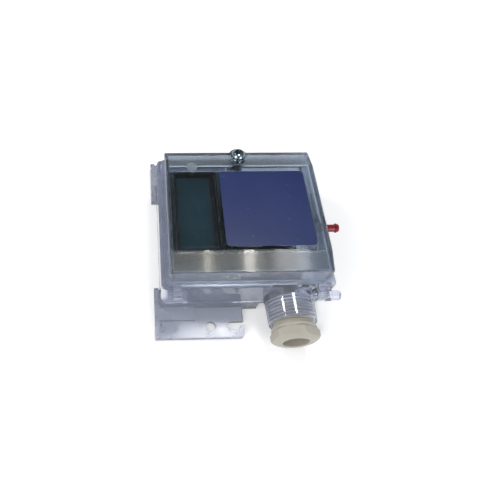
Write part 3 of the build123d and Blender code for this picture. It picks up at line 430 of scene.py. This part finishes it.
def plated_hole_tree():
    """Geometry node tree: a flat gilt ring on each place, some left out, and each in its own size."""
    tree, given, result = growth_tree("plated_holes", (("Ring Radius", 0.00042), ("Hole Radius", 0.00018),
                                                       ("Ring Height", 0.00005), ("Kept Share", 0.6)))
    draw = add(tree, "FunctionNodeRandomValue", {"Seed": 4}, data_type="FLOAT")
    dropped = add(tree, "FunctionNodeCompare", {0: draw.outputs[1], 1: given["Kept Share"]},
                  data_type="FLOAT", operation="GREATER_THAN")
    points = add(tree, "GeometryNodeMeshToPoints", {0: given["Places"]})
    kept = add(tree, "GeometryNodeDeleteGeometry", {"Geometry": points.outputs[0], "Selection": dropped.outputs[0]},
               domain="POINT")
    path = add(tree, "GeometryNodeCurvePrimitiveCircle", {"Resolution": 14, "Radius": given["Ring Radius"]})
    wall = calc(tree, "SUBTRACT", given["Ring Radius"], given["Hole Radius"])
    section = add(tree, "GeometryNodeCurvePrimitiveQuadrilateral", {"Width": wall, "Height": given["Ring Height"]})
    ring = add(tree, "GeometryNodeCurveToMesh", {"Curve": path.outputs[0], "Profile Curve": section.outputs[0]})
    spread = add(tree, "FunctionNodeRandomValue", {2: 0.8, 3: 1.2, "Seed": 7}, data_type="FLOAT")
    rings = add(tree, "GeometryNodeInstanceOnPoints",
                {"Points": kept.outputs[0], "Instance": ring.outputs[0], "Scale": spread.outputs[1]})
    return finish_growth(tree, given, result, rings.outputs[0])


def board_grid(x_span, y_span, pitch):
    """Places on a square grid on the board's top."""
    columns = int((x_span[1] - x_span[0]) / pitch) + 1
    rows = int((y_span[1] - y_span[0]) / pitch) + 1
    ring_z = 0.02402
    return [((x_span[0] + column * pitch) / 1000, (y_span[0] + row * pitch) / 1000, ring_z)
            for column in range(columns) for row in range(rows)]


hole_pitch = 1.9
hole_places = (board_grid((-11.6, -4.2), (-31.0, -2.0), hole_pitch)
               + board_grid((3.0, 27.0), (-2.4, 5.2), hole_pitch))
piece("plated_holes", grown_mesh("plated_holes", plated_hole_tree(), hole_places, gilt), gilt, "housing",
      sharp=30.0)


# Screws
# Cross-head screws cut from zinc-plated steel: four in the board's posts, four countersunk ones that hold the
# bracket, and the larger one that closes the lid. Rolled threads, with a slight haze on the plating.
def loft(stations, segments=180):
    """Closed shell round Z from a closed loop of (height, radius at an angle), in millimetres."""
    shell = bmesh.new()
    rings = []
    for turn in range(segments):
        angle = 2 * math.pi * turn / segments
        ring = []
        for h, radius_at in stations:
            r = radius_at(angle)
            ring.append(shell.verts.new((r * math.cos(angle) / 1000, r * math.sin(angle) / 1000, h / 1000)))
        rings.append(ring)
    joined_rings(shell, rings)
    bmesh.ops.remove_doubles(shell, verts=shell.verts, dist=1e-7)
    bmesh.ops.recalc_face_normals(shell, faces=shell.faces)
    return shell


def round_at(radius):
    """The same radius at every angle."""
    return lambda angle: radius


def lathe(profile, segments=96):
    """Closed shell turned round Z from a closed loop of (radius, height) points, in millimetres."""
    return loft([(h, round_at(r)) for r, h in profile], segments)


def screw_tree():
    """Geometry node tree: a cross-head screw on each place, standing on its head's foot, shank downwards."""
    sizes = (("Foot Radius", 0.0021), ("Foot Height", 0.0002), ("Head Radius", 0.0023), ("Rim Height", 0.0006),
             ("Crown Height", 0.0007), ("Crown Radius", 0.0016), ("Shank Radius", 0.00115),
             ("Shank Length", 0.0071), ("Thread Pitch", 0.0005), ("Thread Depth", 0.00018),
             ("Recess Width", 0.0028), ("Recess Slot", 0.0007), ("Recess Depth", 0.0009), ("Turn", 0.4),
             ("Tilt", 0.0))
    rise_share = 0.62
    inset_share = 0.45
    overlap = 0.0001
    tip_length = 0.0006
    tip_share = 0.7
    thread_share = 0.94
    thread_foot_share = 0.98
    turn_step = 1.3
    tree, given, result = growth_tree("cross_head_screw", sizes)
    length = given["Shank Length"]
    girth = given["Shank Radius"]

    def total(*terms):
        value = terms[0]
        for term in terms[1:]:
            value = calc(tree, "ADD", value, term)
        return value

    def product(one, other):
        return calc(tree, "MULTIPLY", one, other)

    def raised(shape, z):
        lift = add(tree, "ShaderNodeCombineXYZ", {2: z})
        return add(tree, "GeometryNodeTransform", {"Geometry": shape, "Translation": lift.outputs[0]}).outputs[0]

    def cone(low, high, depth, z):
        made = add(tree, "GeometryNodeMeshCone",
                   {"Vertices": 64, "Radius Top": high, "Radius Bottom": low, "Depth": depth}, fill_type="NONE")
        return raised(made.outputs[0], z)

    rim_foot = given["Foot Height"]
    crown_foot = total(rim_foot, given["Rim Height"])
    shoulder_rise = product(given["Crown Height"], rise_share)
    shoulder_z = total(crown_foot, shoulder_rise)
    top = total(crown_foot, given["Crown Height"])
    shoulder = total(product(given["Head Radius"], 1 - inset_share), product(given["Crown Radius"], inset_share))
    head_rest = product(given["Crown Height"], 1 - rise_share)
    walls = [cone(given["Foot Radius"], given["Head Radius"], rim_foot, 0.0),
             cone(given["Head Radius"], given["Head Radius"], given["Rim Height"], rim_foot),
             cone(given["Head Radius"], shoulder, shoulder_rise, crown_foot),
             cone(shoulder, given["Crown Radius"], head_rest, shoulder_z)]
    for radius, z in ((given["Foot Radius"], 0.0), (given["Crown Radius"], top)):
        disc = add(tree, "GeometryNodeMeshCircle", {"Vertices": 64, "Radius": radius}, fill_type="NGON")
        walls.append(raised(disc.outputs[0], z))
    joined = add(tree, "GeometryNodeJoinGeometry")
    for wall in reversed(walls):
        tree.links.new(wall, joined.inputs[0])
    head = add(tree, "GeometryNodeMergeByDistance", {"Geometry": joined.outputs[0], "Distance": 1e-6})
    cut_z = total(top, product(given["Recess Depth"], -0.5), overlap)
    cut_height = total(given["Recess Depth"], 2 * overlap)
    cutters = []
    for width, depth in ((given["Recess Width"], given["Recess Slot"]), (given["Recess Slot"], given["Recess Width"])):
        size = add(tree, "ShaderNodeCombineXYZ", {0: width, 1: depth, 2: cut_height})
        bar = add(tree, "GeometryNodeMeshCube", {"Size": size.outputs[0]})
        cutters.append(raised(bar.outputs[0], cut_z))
    carved = head.outputs[0]
    for cutter in cutters:
        carved = add(tree, "GeometryNodeMeshBoolean", {0: carved, 1: cutter}, operation="DIFFERENCE").outputs[0]
    shank = add(tree, "GeometryNodeMeshCylinder",
                {"Vertices": 40, "Radius": girth, "Depth": length}, fill_type="NGON")
    shank = raised(shank.outputs[0], total(product(length, -0.5), overlap))
    tip = add(tree, "GeometryNodeMeshCone",
              {"Vertices": 40, "Radius Top": girth,
               "Radius Bottom": product(girth, tip_share), "Depth": tip_length}, fill_type="NGON")
    tip = raised(tip.outputs[0], total(product(length, -1.0), overlap - tip_length))
    turns = calc(tree, "DIVIDE", length, given["Thread Pitch"])
    helix = add(tree, "GeometryNodeCurveSpiral",
                {"Resolution": 28, "Rotations": turns, "Start Radius": girth,
                 "End Radius": girth, "Height": product(length, thread_share)})
    ridge = add(tree, "GeometryNodeCurvePrimitiveCircle", {"Resolution": 4, "Radius": given["Thread Depth"]})
    thread = add(tree, "GeometryNodeCurveToMesh",
                 {"Curve": helix.outputs[0], "Profile Curve": ridge.outputs[0], "Fill Caps": True})
    thread = raised(thread.outputs[0], product(length, -thread_foot_share))
    whole = add(tree, "GeometryNodeJoinGeometry")
    for shape in (thread, tip, shank, carved):
        tree.links.new(shape, whole.inputs[0])
    points = add(tree, "GeometryNodeMeshToPoints", {0: given["Places"]})
    number = add(tree, "GeometryNodeInputIndex")
    turn = calc(tree, "MULTIPLY_ADD", number.outputs[0], turn_step, given["Turn"])
    angles = add(tree, "ShaderNodeCombineXYZ", {0: given["Tilt"], 2: turn})
    screws = add(tree, "GeometryNodeInstanceOnPoints",
                 {"Points": points.outputs[0], "Instance": whole.outputs[0], "Rotation": angles.outputs[0]})
    return finish_growth(tree, given, result, screws.outputs[0])


cross_head_screw = screw_tree()
zinc_plate = handled(skinned("zinc_plate", (0.25, 0.31, 0.35), 0.20, grain_scale=2600.0, grain_depth=0.008,
                             drift=0.35, drift_scale=500.0, roughness_drift=0.25, Metallic=1.0),
                     scratch_scale=500.0, scratch_share=0.12, dust_share=0.03)
board_posts = ((-33.2, -30.2), (-33.2, 30.2), (28.1, 30.2), (28.1, -9.6))
board_screw_places = [(x / 1000, y / 1000, 0.024) for x, y in board_posts]
piece("board_screw_set", grown_mesh("board_screw_set", cross_head_screw, board_screw_places, zinc_plate),
      zinc_plate, "housing", ("board_screws",))
bracket_screw_places = [(x / 1000, y / 1000, 0.0019) for x in (-26.0, 6.0) for y in (-26.0, 26.0)]
piece("bracket_screw_set", grown_mesh("bracket_screw_set", cross_head_screw, bracket_screw_places, zinc_plate,
                                      Foot_Radius=0.0014, Foot_Height=0.0014, Head_Radius=0.0029, Rim_Height=0.0001,
                                      Crown_Height=0.0001, Crown_Radius=0.0028, Shank_Radius=0.0014,
                                      Shank_Length=0.0064, Thread_Pitch=0.0007, Thread_Depth=0.0002,
                                      Recess_Width=0.0032, Recess_Slot=0.0007, Recess_Depth=0.0011, Tilt=math.pi),
      zinc_plate, "housing", ("bracket_screws",))
piece("lid_closing_screw", grown_mesh("lid_closing_screw", cross_head_screw, [(0, 0.0325, 0.0412)], zinc_plate,
                                      Foot_Radius=0.0033, Foot_Height=0.0002, Head_Radius=0.0035, Rim_Height=0.0009,
                                      Crown_Height=0.0013, Crown_Radius=0.0022, Shank_Radius=0.0017,
                                      Shank_Length=0.0181, Thread_Pitch=0.0007, Thread_Depth=0.00024,
                                      Recess_Width=0.0044, Recess_Slot=0.0011, Recess_Depth=0.0015, Turn=0.55),
      zinc_plate, "lid_screw", ("lid_screw",))
washer_profile = ((2.05, 0.08), (2.13, 0.0), (3.95, 0.0), (4.1, 0.12), (4.1, 0.46), (3.95, 0.6), (2.13, 0.6),
                  (2.05, 0.52))
piece("lid_screw_disc", lathe(washer_profile), zinc_plate, "lid_screw_washer",
      ("lid_screw_washer",), Matrix.Translation((0, 0.0325, 0.0406)))

# Lid
# A clear polycarbonate hood on two moulded hooks. Its flat top is polished, and its slopes are grained, so that
# what lies under them looks soft and speckled.
lid_top_z = 0.0410
flat_half_y = 0.0262
slope_fall = 0.243
hook_top_z = 0.0320
zone_fade = 0.0008


def lid_zones(tree):
    """Shares of the lid's outer slope and of its grained inner slope."""
    place = object_place(tree)
    parts = add(tree, "ShaderNodeSeparateXYZ", {0: place})
    across = calc(tree, "ABSOLUTE", parts.outputs["Y"])
    slope = add(tree, "ShaderNodeMapRange",
                {"Value": across, "From Min": flat_half_y, "From Max": flat_half_y + zone_fade})
    lifted = calc(tree, "MULTIPLY_ADD", across, slope_fall, parts.outputs["Z"])
    outside = calc(tree, "GREATER_THAN", lifted, lid_top_z + flat_half_y * slope_fall - zone_fade)
    inside = calc(tree, "SUBTRACT", 1.0, outside)
    outer = calc(tree, "MULTIPLY", slope.outputs[0], outside)
    inner = calc(tree, "MULTIPLY", slope.outputs[0], inside)
    return outer, inner


clear_hood = skinned("clear_hood", (0.79, 0.89, 0.94), 0.02, grain_scale=2400.0, grain_depth=0.03, drift=0.05,
                     roughness_drift=0.02, Transmission_Weight=1.0, IOR=1.58)
material, tree, shader, skin, bump = handled(clear_hood, scratch_roughness=0.03, dust_share=0.01)
outer, inner = lid_zones(tree)
grained = calc(tree, "MULTIPLY", skin.outputs["Height"], inner)
tree.links.new(grained, bump.inputs["Height"])
scratched = shader.inputs["Roughness"].links[0].from_socket
level = scratched
for zone, extra in ((outer, 0.08), (inner, 0.34)):
    level = calc(tree, "MULTIPLY_ADD", zone, extra, level)
tree.links.new(level, shader.inputs["Roughness"])
speckle = add(tree, "ShaderNodeMapRange",
              {"Value": skin.outputs["Height"], "From Min": 0.35, "From Max": 0.65, "To Min": 0.55, "To Max": 1.12})
clean = shader.inputs["Base Color"].links[0].from_socket
speckled = add(tree, "ShaderNodeVectorMath", {0: clean, "Scale": speckle.outputs[0]}, operation="SCALE")
slopes = calc(tree, "ADD", outer, inner)
hazed = mix_colour(tree, slopes, clean, speckled.outputs[0])
tree.links.new(hazed, shader.inputs["Base Color"])
hood_wall = waved(skinned("hood_wall", (0.80, 0.85, 0.95), 0.10, grain_scale=900.0, grain_depth=0.004, drift=0.06,
                          roughness_drift=0.04, Transmission_Weight=0.84, IOR=1.58), scale=110.0, depth=0.06)
hood = bmesh.new()
hood.from_mesh(nodes["lid"].data)
bmesh.ops.remove_doubles(hood, verts=hood.verts, dist=1e-6)
for face in hood.faces:
    upright = abs(face.normal.z) < 0.5
    face.material_index = 1 if upright or face.calc_center_median().z < hook_top_z else 0
hood_piece = piece("lid_hood", hood, clear_hood, "lid", ("lid",), sharp=5.0)
hood_piece.data.materials.append(hood_wall[0])

# Gate mark
# The round witness of the mould's gate on the lid's rear left edge: a low disc with a groove round it.
gate_profile = ((0.02, -0.6), (0.02, 0.10), (1.7, 0.12), (2.0, 0.06), (2.3, 0.06), (2.55, 0.16), (2.9, 0.14),
                (3.05, -0.6))
milky_mark = skinned("milky_mark", (0.68, 0.74, 0.80), 0.30, grain_scale=1500.0, grain_depth=0.006,
                     Transmission_Weight=0.86, IOR=1.58)
piece("lid_gate_mark", lathe(gate_profile), milky_mark, "lid", (),
      Matrix.Translation((-0.0258, 0.0249, 0.0410)))

# Lid label
# A satin navy film printed on the back and laid in the lid's large pocket, left bare here.
# The print has the faint mottle of screen ink, and the film on it has fine handling scratches.
panel_film = handled(skinned("panel_film", (0.019, 0.033, 0.122), 0.34, grain_scale=6000.0, grain_depth=0.003,
                             drift=0.22, drift_scale=25.0, Specular_IOR_Level=0.25), scratch_share=0.03,
                     dust_share=0.003)
dress("lid_label", panel_film)

# Gland nut and thrust ring
# Light grey beige polyamide with a matt skin. The nut's neck carries a coarse right-hand thread, then come a
# flange, a groove and a hexagon that rounds over into the mouth for the cable.
flats_turn = math.radians(52.0)
neck_root = 9.5
neck_crest = 10.05
thread_pitch = 1.75
neck_span = (47.0, 56.4)
thread_span = (47.5, 55.6)
thread_step = 0.175


def rounded_flats(half_flats, corner_radius, turn):
    """Radius of a hexagon whose corners are cut by a circle, with a soft edge between the two."""
    def radius_at(angle):
        off = (angle - turn + math.pi / 6) % (math.pi / 3) - math.pi / 6
        flat = half_flats / math.cos(off)
        soft = 70.0
        return (flat ** -soft + corner_radius ** -soft) ** (-1 / soft)
    return radius_at


def thread_at(height):
    """Radius of the neck's thread at a height, as a function of the angle."""
    ends = min(1.0, max(0.0, (height - thread_span[0]) / 0.5), max(0.0, (thread_span[1] - height) / 0.9))

    def radius_at(angle):
        phase = (height / thread_pitch + angle / (2 * math.pi)) % 1.0
        ridge = min(1.0, max(0.0, 1.6 - abs(phase - 0.5) * 4.4))
        return neck_root + (neck_crest - neck_root) * ridge * max(0.0, ends)
    return radius_at


def nut_stations():
    """Outline of the nut from its neck's end to its mouth and back through the bore."""
    stations = [(neck_span[0], round_at(8.9)), (neck_span[0] + 0.25, round_at(neck_root - 0.2))]
    count = int((neck_span[1] - neck_span[0] - 0.5) / thread_step)
    stations += [(height, thread_at(height)) for height in
                 (neck_span[0] + 0.5 + number * thread_step for number in range(count))]
    stations += [(neck_span[1], round_at(neck_root)), (neck_span[1], round_at(10.8))]
    stations += [(56.55, round_at(11.2)), (56.9, round_at(11.4)), (57.75, round_at(11.4)),
                 (58.0, round_at(11.25)), (58.12, round_at(10.95)), (58.55, round_at(10.9))]
    for height, corner in ((58.62, 11.5), (58.8, 12.0), (59.1, 12.35), (61.6, 12.35), (62.3, 12.0), (62.8, 11.5),
                           (63.1, 10.7), (63.4, 9.8), (63.7, 8.9)):
        stations.append((height, rounded_flats(11.0, corner, flats_turn)))
    stations += [(63.9, round_at(8.1)), (64.0, round_at(7.4)), (63.9, round_at(6.75)), (63.6, round_at(6.5)),
                 (47.4, round_at(6.5)), (47.0, round_at(6.8))]
    return stations


gland_axis = Matrix.Translation((0.0229, 0, 0.0134))
down_gland = gland_axis @ Matrix.Rotation(math.radians(90.0), 4, "X")
beige_polyamide = handled(skinned("beige_polyamide", (0.44, 0.415, 0.355), 0.44, grain_scale=3200.0,
                                  grain_depth=0.018, drift=0.14, drift_scale=120.0, roughness_drift=0.12,
                                  Specular_IOR_Level=0.4), scratch_scale=300.0, scratch_share=0.10, dust_share=0.02)
piece("gland_nut_shell", loft(nut_stations()), beige_polyamide, "gland_nut", ("gland_nut",),
      down_gland, sharp=18.0)
dress("gland_thrust_ring", beige_polyamide)

# Gland seal
# A soft silicone ring that the nut presses round the cable. It is moulded, with a waisted bore, a tapered rear
# end and rounded edges.
seal_profile = ((5.7, 41.3), (8.7, 41.3), (9.1, 41.45), (9.85, 42.4), (10.05, 42.8), (10.05, 45.0), (9.75, 45.4),
                (5.7, 45.4), (5.35, 45.1), (4.95, 44.3), (4.8, 43.35), (4.95, 42.4), (5.35, 41.6))
piece("gland_seal_ring", lathe(seal_profile), soft_silicone, "housing", ("gland_seal",),
      down_gland)

# Nozzles and their O rings
# Two smooth moulded tails with a collar: the high-pressure one is dark red and translucent, the other natural.
# Each collar presses a black nitrile O ring against the wall, moulded with a faint parting line.
red_plastic = handled(skinned("red_plastic", (0.42, 0.020, 0.028), 0.16, grain_depth=0.006, drift=0.2,
                              drift_scale=150.0, Transmission_Weight=0.35, IOR=1.5), scratch_scale=400.0,
                      dust_share=0.02)
dress("red_nozzle", red_plastic)
natural_plastic = handled(skinned("natural_plastic", (0.72, 0.75, 0.80), 0.16, grain_depth=0.006, drift=0.1,
                                  drift_scale=150.0, Transmission_Weight=0.7, IOR=1.5), scratch_scale=400.0,
                          dust_share=0.02)
dress("clear_nozzle", natural_plastic)
black_rubber = handled(skinned("black_rubber", (0.028, 0.028, 0.030), 0.58, grain_scale=2200.0, grain_depth=0.012,
                               drift=0.3, drift_scale=200.0), dust_share=0.10)
ring_middle = 2.75
ring_section = 0.55
parting_line = {0: 0.03, 9: -0.03}
ring_profile = [(ring_middle + ring_section * math.cos(math.radians(step * 20)) + parting_line.get(step, 0.0),
                 ring_section * math.sin(math.radians(step * 20))) for step in range(18)]
nozzle_face_x = 0.0437
nozzle_y = -0.0012
both_rings = bmesh.new()
for ring_height in (0.0193, 0.0078):
    one_ring = lathe(ring_profile, segments=64)
    across_wall = Matrix.Translation((nozzle_face_x, nozzle_y, ring_height)) @ Matrix.Rotation(math.radians(90.0), 4,
                                                                                               "Y")
    bmesh.ops.transform(one_ring, matrix=across_wall, verts=one_ring.verts)
    ring_data = bpy.data.meshes.new("ring")
    one_ring.to_mesh(ring_data)
    one_ring.free()
    both_rings.from_mesh(ring_data)
    bpy.data.meshes.remove(ring_data)
piece("nozzle_sealing_rings", both_rings, black_rubber, "housing", ("nozzle_o_rings",))


# Hoses
# Two short silicone hoses pushed over the nozzles' tails and the sensor's ports. They are extruded, slightly
# cloudy, and swell a little where the ports stretch them.
hose_outer = 2.9
hose_bore = 2.0


def hose_line(start, straight, turn, end, steps=28):
    """Centre points of a hose: straight on its nozzle, one smooth bend, straight on its port."""
    one, other = Vector(straight), Vector(turn)
    reach = Vector(((other.x - one.x) * 0.55, 0, 0))
    line = [Vector(start).lerp(one, step / 6) for step in range(6)]
    for step in range(steps + 1):
        t = step / steps
        line.append(one * (1 - t) ** 3 + (one + reach) * 3 * t * (1 - t) ** 2
                    + (other - reach) * 3 * t * t * (1 - t) + other * t ** 3)
    line += [other.lerp(Vector(end), (step + 1) / 6) for step in range(6)]
    return line


def hose_shell(line, sides=40):
    """Closed shell of a hose with its bore, along a line, in millimetres."""
    shell = bmesh.new()
    last = len(line) - 1
    rings = []
    for inside in (False, True):
        for number in (range(last, -1, -1) if inside else range(last + 1)):
            ahead = line[min(number + 1, last)] - line[max(number - 1, 0)]
            along = ahead.normalized()
            side = along.cross(Vector((0, 0, 1))).normalized()
            up = side.cross(along)
            grip = max(0.0, 1.0 - min(number, last - number) / 5.0)
            radius = hose_bore if inside else hose_outer - 0.10 * (1.0 - grip)
            if not inside and number in (0, last):
                radius -= 0.12
            rings.append([shell.verts.new((line[number] + (side * math.cos(2 * math.pi * k / sides)
                                                           + up * math.sin(2 * math.pi * k / sides)) * radius) / 1000)
                          for k in range(sides)])
    joined_rings(shell, rings)
    bmesh.ops.recalc_face_normals(shell, faces=shell.faces)
    return shell


hose_silicone = handled(waved(skinned("hose_silicone", (0.70, 0.72, 0.74), 0.34, grain_scale=1500.0,
                                      grain_depth=0.008, Transmission_Weight=0.55, IOR=1.41), scale=500.0,
                              depth=0.05), dust_share=0.06)
for hose, node, points in (
        ("upper_hose", "red_nozzle_hose", ((36.4, -1.2, 19.3), (30.2, -1.2, 19.3), (19.5, 2.8, 17.9),
                                           (13.6, 2.8, 17.9))),
        ("lower_hose", "clear_nozzle_hose", ((36.4, -1.2, 7.8), (30.2, -1.2, 7.8), (19.5, -5.2, 17.9),
                                             (13.6, -5.2, 17.9)))):
    piece(hose, hose_shell(hose_line(*points)), hose_silicone, "housing", (node,))

# Mounting bracket
# A clear tray moulded in the housing's material, with a foot at each end. It is a little hazier than the walls,
# It is a little hazier than the walls, and finely scratched in scattered patches; the rubbing where it lies on the
# wall is not drawn.
clear_tray = skinned("clear_tray", (0.58, 0.61, 0.72), 0.25, grain_scale=900.0, grain_depth=0.006, drift=0.07,
                     Transmission_Weight=0.74, IOR=1.58)
dress("mounting_bracket", handled(waved(clear_tray, scale=110.0, depth=0.08), scratch_roughness=0.12,
                                  scratch_scale=700.0, scratch_share=0.02, dust_share=0.02))

# Display
# A black frame on legs holds the dark liquid crystal glass, with a row of gilt pins to the board.
# The glass is switched off, so it shows only the dark green grey of its filter.
black_moulding = handled(skinned("black_moulding", (0.003, 0.006, 0.011), 0.50, grain_scale=3000.0,
                                 grain_depth=0.012, drift=0.3, Specular_IOR_Level=0.3), dust_share=0.02)
dress("display_frame", black_moulding)
dark_glass = skinned("dark_glass", (0.023, 0.072, 0.094), 0.10, grain_scale=4000.0, grain_depth=0.001, drift=0.25,
                     drift_scale=35.0, Specular_IOR_Level=0.35)
dress("display_glass", handled(dark_glass, scratch_roughness=0.15, dust_share=0.02))
dress("display_pins", gilt)

# Terminal block
# Green moulded housing with three rising clamps and their screws, all zinc plated.
green_moulding = handled(skinned("green_moulding", (0.03, 0.20, 0.09), 0.40, grain_scale=2600.0, grain_depth=0.015,
                                 drift=0.15), dust_share=0.05)
dress("terminal_block", green_moulding)
for number in (1, 2, 3):
    dress(f"terminal_clamp_{number}", zinc_plate)
    dress(f"terminal_screw_{number}", zinc_plate)


# Processor chip
# A square plastic package with 8 bent tinned leads on each side. It is transfer moulded, with drafted sides,
# a polished dot by pin 1, and leads soldered to the board.
def lead_tree():
    """Geometry node tree: a gull-wing lead on each place, turned outwards by the side that it stands on."""
    sizes = (("Width", 0.00036), ("Thickness", 0.00014), ("Shoulder", 0.00035), ("Foot", 0.00050),
             ("Drop", 0.00070), ("Leads Per Side", 8.0))
    tree, given, result = growth_tree("gull_wing_leads", sizes)
    far = calc(tree, "ADD", given["Shoulder"], 0.00022)
    end = calc(tree, "ADD", far, given["Foot"])
    low = calc(tree, "MULTIPLY", given["Drop"], -1.0)
    corners = [(-0.0002, 0.0), (given["Shoulder"], 0.0), (far, low),
               (end, low)]
    joined = add(tree, "GeometryNodeJoinGeometry")
    for one, other in zip(corners, corners[1:]):
        ends = [add(tree, "ShaderNodeCombineXYZ", {0: x, 2: z}).outputs[0] for x, z in (one, other)]
        run = add(tree, "GeometryNodeCurvePrimitiveLine", {"Start": ends[0], "End": ends[1]})
        tree.links.new(run.outputs[0], joined.inputs[0])
    strip = add(tree, "GeometryNodeCurvePrimitiveQuadrilateral",
                {"Width": given["Thickness"], "Height": given["Width"]})
    bent = add(tree, "GeometryNodeCurveToMesh",
               {"Curve": joined.outputs[0], "Profile Curve": strip.outputs[0], "Fill Caps": True})
    points = add(tree, "GeometryNodeMeshToPoints", {0: given["Places"]})
    number = add(tree, "GeometryNodeInputIndex")
    side = calc(tree, "DIVIDE", number.outputs[0], given["Leads Per Side"])
    side = calc(tree, "FLOOR", side)
    angle = calc(tree, "MULTIPLY", side, math.pi / 2)
    turned = add(tree, "ShaderNodeCombineXYZ", {2: angle})
    leads = add(tree, "GeometryNodeInstanceOnPoints",
                {"Points": points.outputs[0], "Instance": bent.outputs[0], "Rotation": turned.outputs[0]})
    return finish_growth(tree, given, result, leads.outputs[0])


chip_centre = (2.0, 18.0)
chip_half = 5.0
chip_foot = 24.1
chip_top = 25.5
leads_per_side = 8
dot_inset = 0.0036
dot_radius = 0.0005


def chip_body():
    """Package with drafted sides and softened edges, in millimetres."""
    shell = bmesh.new()
    middle = (chip_foot + chip_top) / 2
    rings = []
    for z, inset in ((chip_foot, 0.25), (middle, 0.0), (chip_top - 0.12, 0.20), (chip_top, 0.36)):
        half = chip_half - inset
        rings.append([shell.verts.new(((chip_centre[0] + point.x) / 1000, (chip_centre[1] + point.y) / 1000,
                                       z / 1000)) for point, out in corner_loop(half, half, 0.35, 3)])
    for one, other in zip(rings, rings[1:]):
        for a, b, c, d in zip(one, one[1:] + one[:1], other[1:] + other[:1], other):
            shell.faces.new((a, b, c, d))
    shell.faces.new(rings[-1])
    shell.faces.new(list(reversed(rings[0])))
    bmesh.ops.recalc_face_normals(shell, faces=shell.faces)
    return shell


chip_plastic = handled(skinned("chip_plastic", (0.014, 0.014, 0.015), 0.46, grain_scale=5000.0, grain_depth=0.010,
                               drift=0.2), dust_share=0.05)
material, tree, shader, skin, bump = chip_plastic
dot_place = (chip_centre[0] / 1000 - dot_inset, chip_centre[1] / 1000 - dot_inset, chip_top / 1000)
from_dot = add(tree, "ShaderNodeVectorMath", {0: object_place(tree), 1: dot_place},
               operation="DISTANCE")
in_dot = calc(tree, "LESS_THAN", from_dot.outputs["Value"], dot_radius)
worn = shader.inputs["Roughness"].links[0].from_socket
polished = calc(tree, "MULTIPLY_ADD", in_dot, -0.3, worn)
tree.links.new(polished, shader.inputs["Roughness"])
piece("chip_package", chip_body(), chip_plastic, "housing", ("processor_chip",))
tinned = skinned("tinned", (0.66, 0.67, 0.68), 0.30, grain_scale=4000.0, grain_depth=0.006, drift=0.25,
                 drift_scale=600.0, Metallic=1.0)
lead_places = []
for side in range(4):
    turned = Matrix.Rotation(side * math.pi / 2, 4, "Z")
    for number in range(leads_per_side):
        spot = turned @ Vector((chip_half, number - (leads_per_side - 1) / 2, 0))
        lead_places.append(((chip_centre[0] + spot.x) / 1000, (chip_centre[1] + spot.y) / 1000, 0.0248))
piece("chip_leads", grown_mesh("chip_leads", lead_tree(), lead_places, tinned), tinned, "housing",
      ("processor_chip",), sharp=30.0)

# Zero button
# A push button with a black moulded case and a grey acetal cap, soldered to the board.
dress("zero_button_case", black_moulding)
grey_cap = handled(skinned("grey_cap", (0.42, 0.43, 0.44), 0.40, grain_scale=3000.0, grain_depth=0.01, drift=0.12),
                   dust_share=0.04)
dress("zero_button", grey_cap)

# Capacitors
# Two electrolytic cans: drawn aluminium with a dark polarity field on the top, on a black moulded foot.
can_metal = handled(skinned("can_metal", (0.72, 0.73, 0.75), 0.26, grain_scale=2500.0, grain_depth=0.006,
                            drift=0.15, drift_scale=250.0, Metallic=1.0), scratch_scale=350.0, scratch_share=0.12)
material, tree, shader, skin, bump = can_metal
spot = add(tree, "ShaderNodeSeparateXYZ", {0: object_place(tree)})
foot_top_z = 0.0249
can_top_z = 0.0311
mark_edge_x = 0.0211
on_foot = calc(tree, "LESS_THAN", spot.outputs["Z"], foot_top_z)
on_top = calc(tree, "GREATER_THAN", spot.outputs["Z"], can_top_z)
on_left = calc(tree, "LESS_THAN", spot.outputs["X"], mark_edge_x)
printed = calc(tree, "MULTIPLY", on_top, on_left)
dark = calc(tree, "MAXIMUM", on_foot, printed)
clean = shader.inputs["Base Color"].links[0].from_socket
marked = mix_colour(tree, dark, clean, (0.015, 0.015, 0.017, 1))
tree.links.new(marked, shader.inputs["Base Color"])
bare = calc(tree, "SUBTRACT", 1.0, dark)
tree.links.new(bare, shader.inputs["Metallic"])
dress("capacitors", can_metal)

# Small parts
# Two columns of four: chip resistors with tinned ends and a black glaze, and diodes drawn with the same tinned ends
# and black glaze; their grey moulding and band are not drawn.
small_finish = skinned("small_part_glaze", (0.018, 0.018, 0.020), 0.30, grain_scale=4000.0, grain_depth=0.005,
                       drift=0.2, drift_scale=400.0)
material, tree, shader, skin, bump = small_finish
spot = add(tree, "ShaderNodeSeparateXYZ", {0: object_place(tree)})
ends = []
column_reach = 0.0021
for centre, half_body in ((0.0115, 0.00065), (0.01566, 0.0014)):
    off = calc(tree, "SUBTRACT", spot.outputs["X"], centre)
    near = calc(tree, "ABSOLUTE", off)
    close = calc(tree, "LESS_THAN", near, column_reach)
    end = calc(tree, "GREATER_THAN", near, half_body)
    ends.append(calc(tree, "MULTIPLY", close, end))
tin = calc(tree, "MAXIMUM", ends[0], ends[1])
tipped = mix_colour(tree, tin, skin.outputs["Color"], (0.62, 0.63, 0.64, 1))
tree.links.new(tipped, shader.inputs["Base Color"])
tree.links.new(tin, shader.inputs["Metallic"])
dress("small_parts", small_finish)

# Pressure sensor
# Off-white glass-filled moulding under the board, with two ports. Its skin is matt and faintly mottled.
sensor_plastic = handled(skinned("sensor_plastic", (0.62, 0.61, 0.56), 0.50, grain_scale=2000.0, grain_depth=0.02,
                                 drift=0.12, drift_scale=180.0), dust_share=0.05)
dress("pressure_sensor", sensor_plastic)
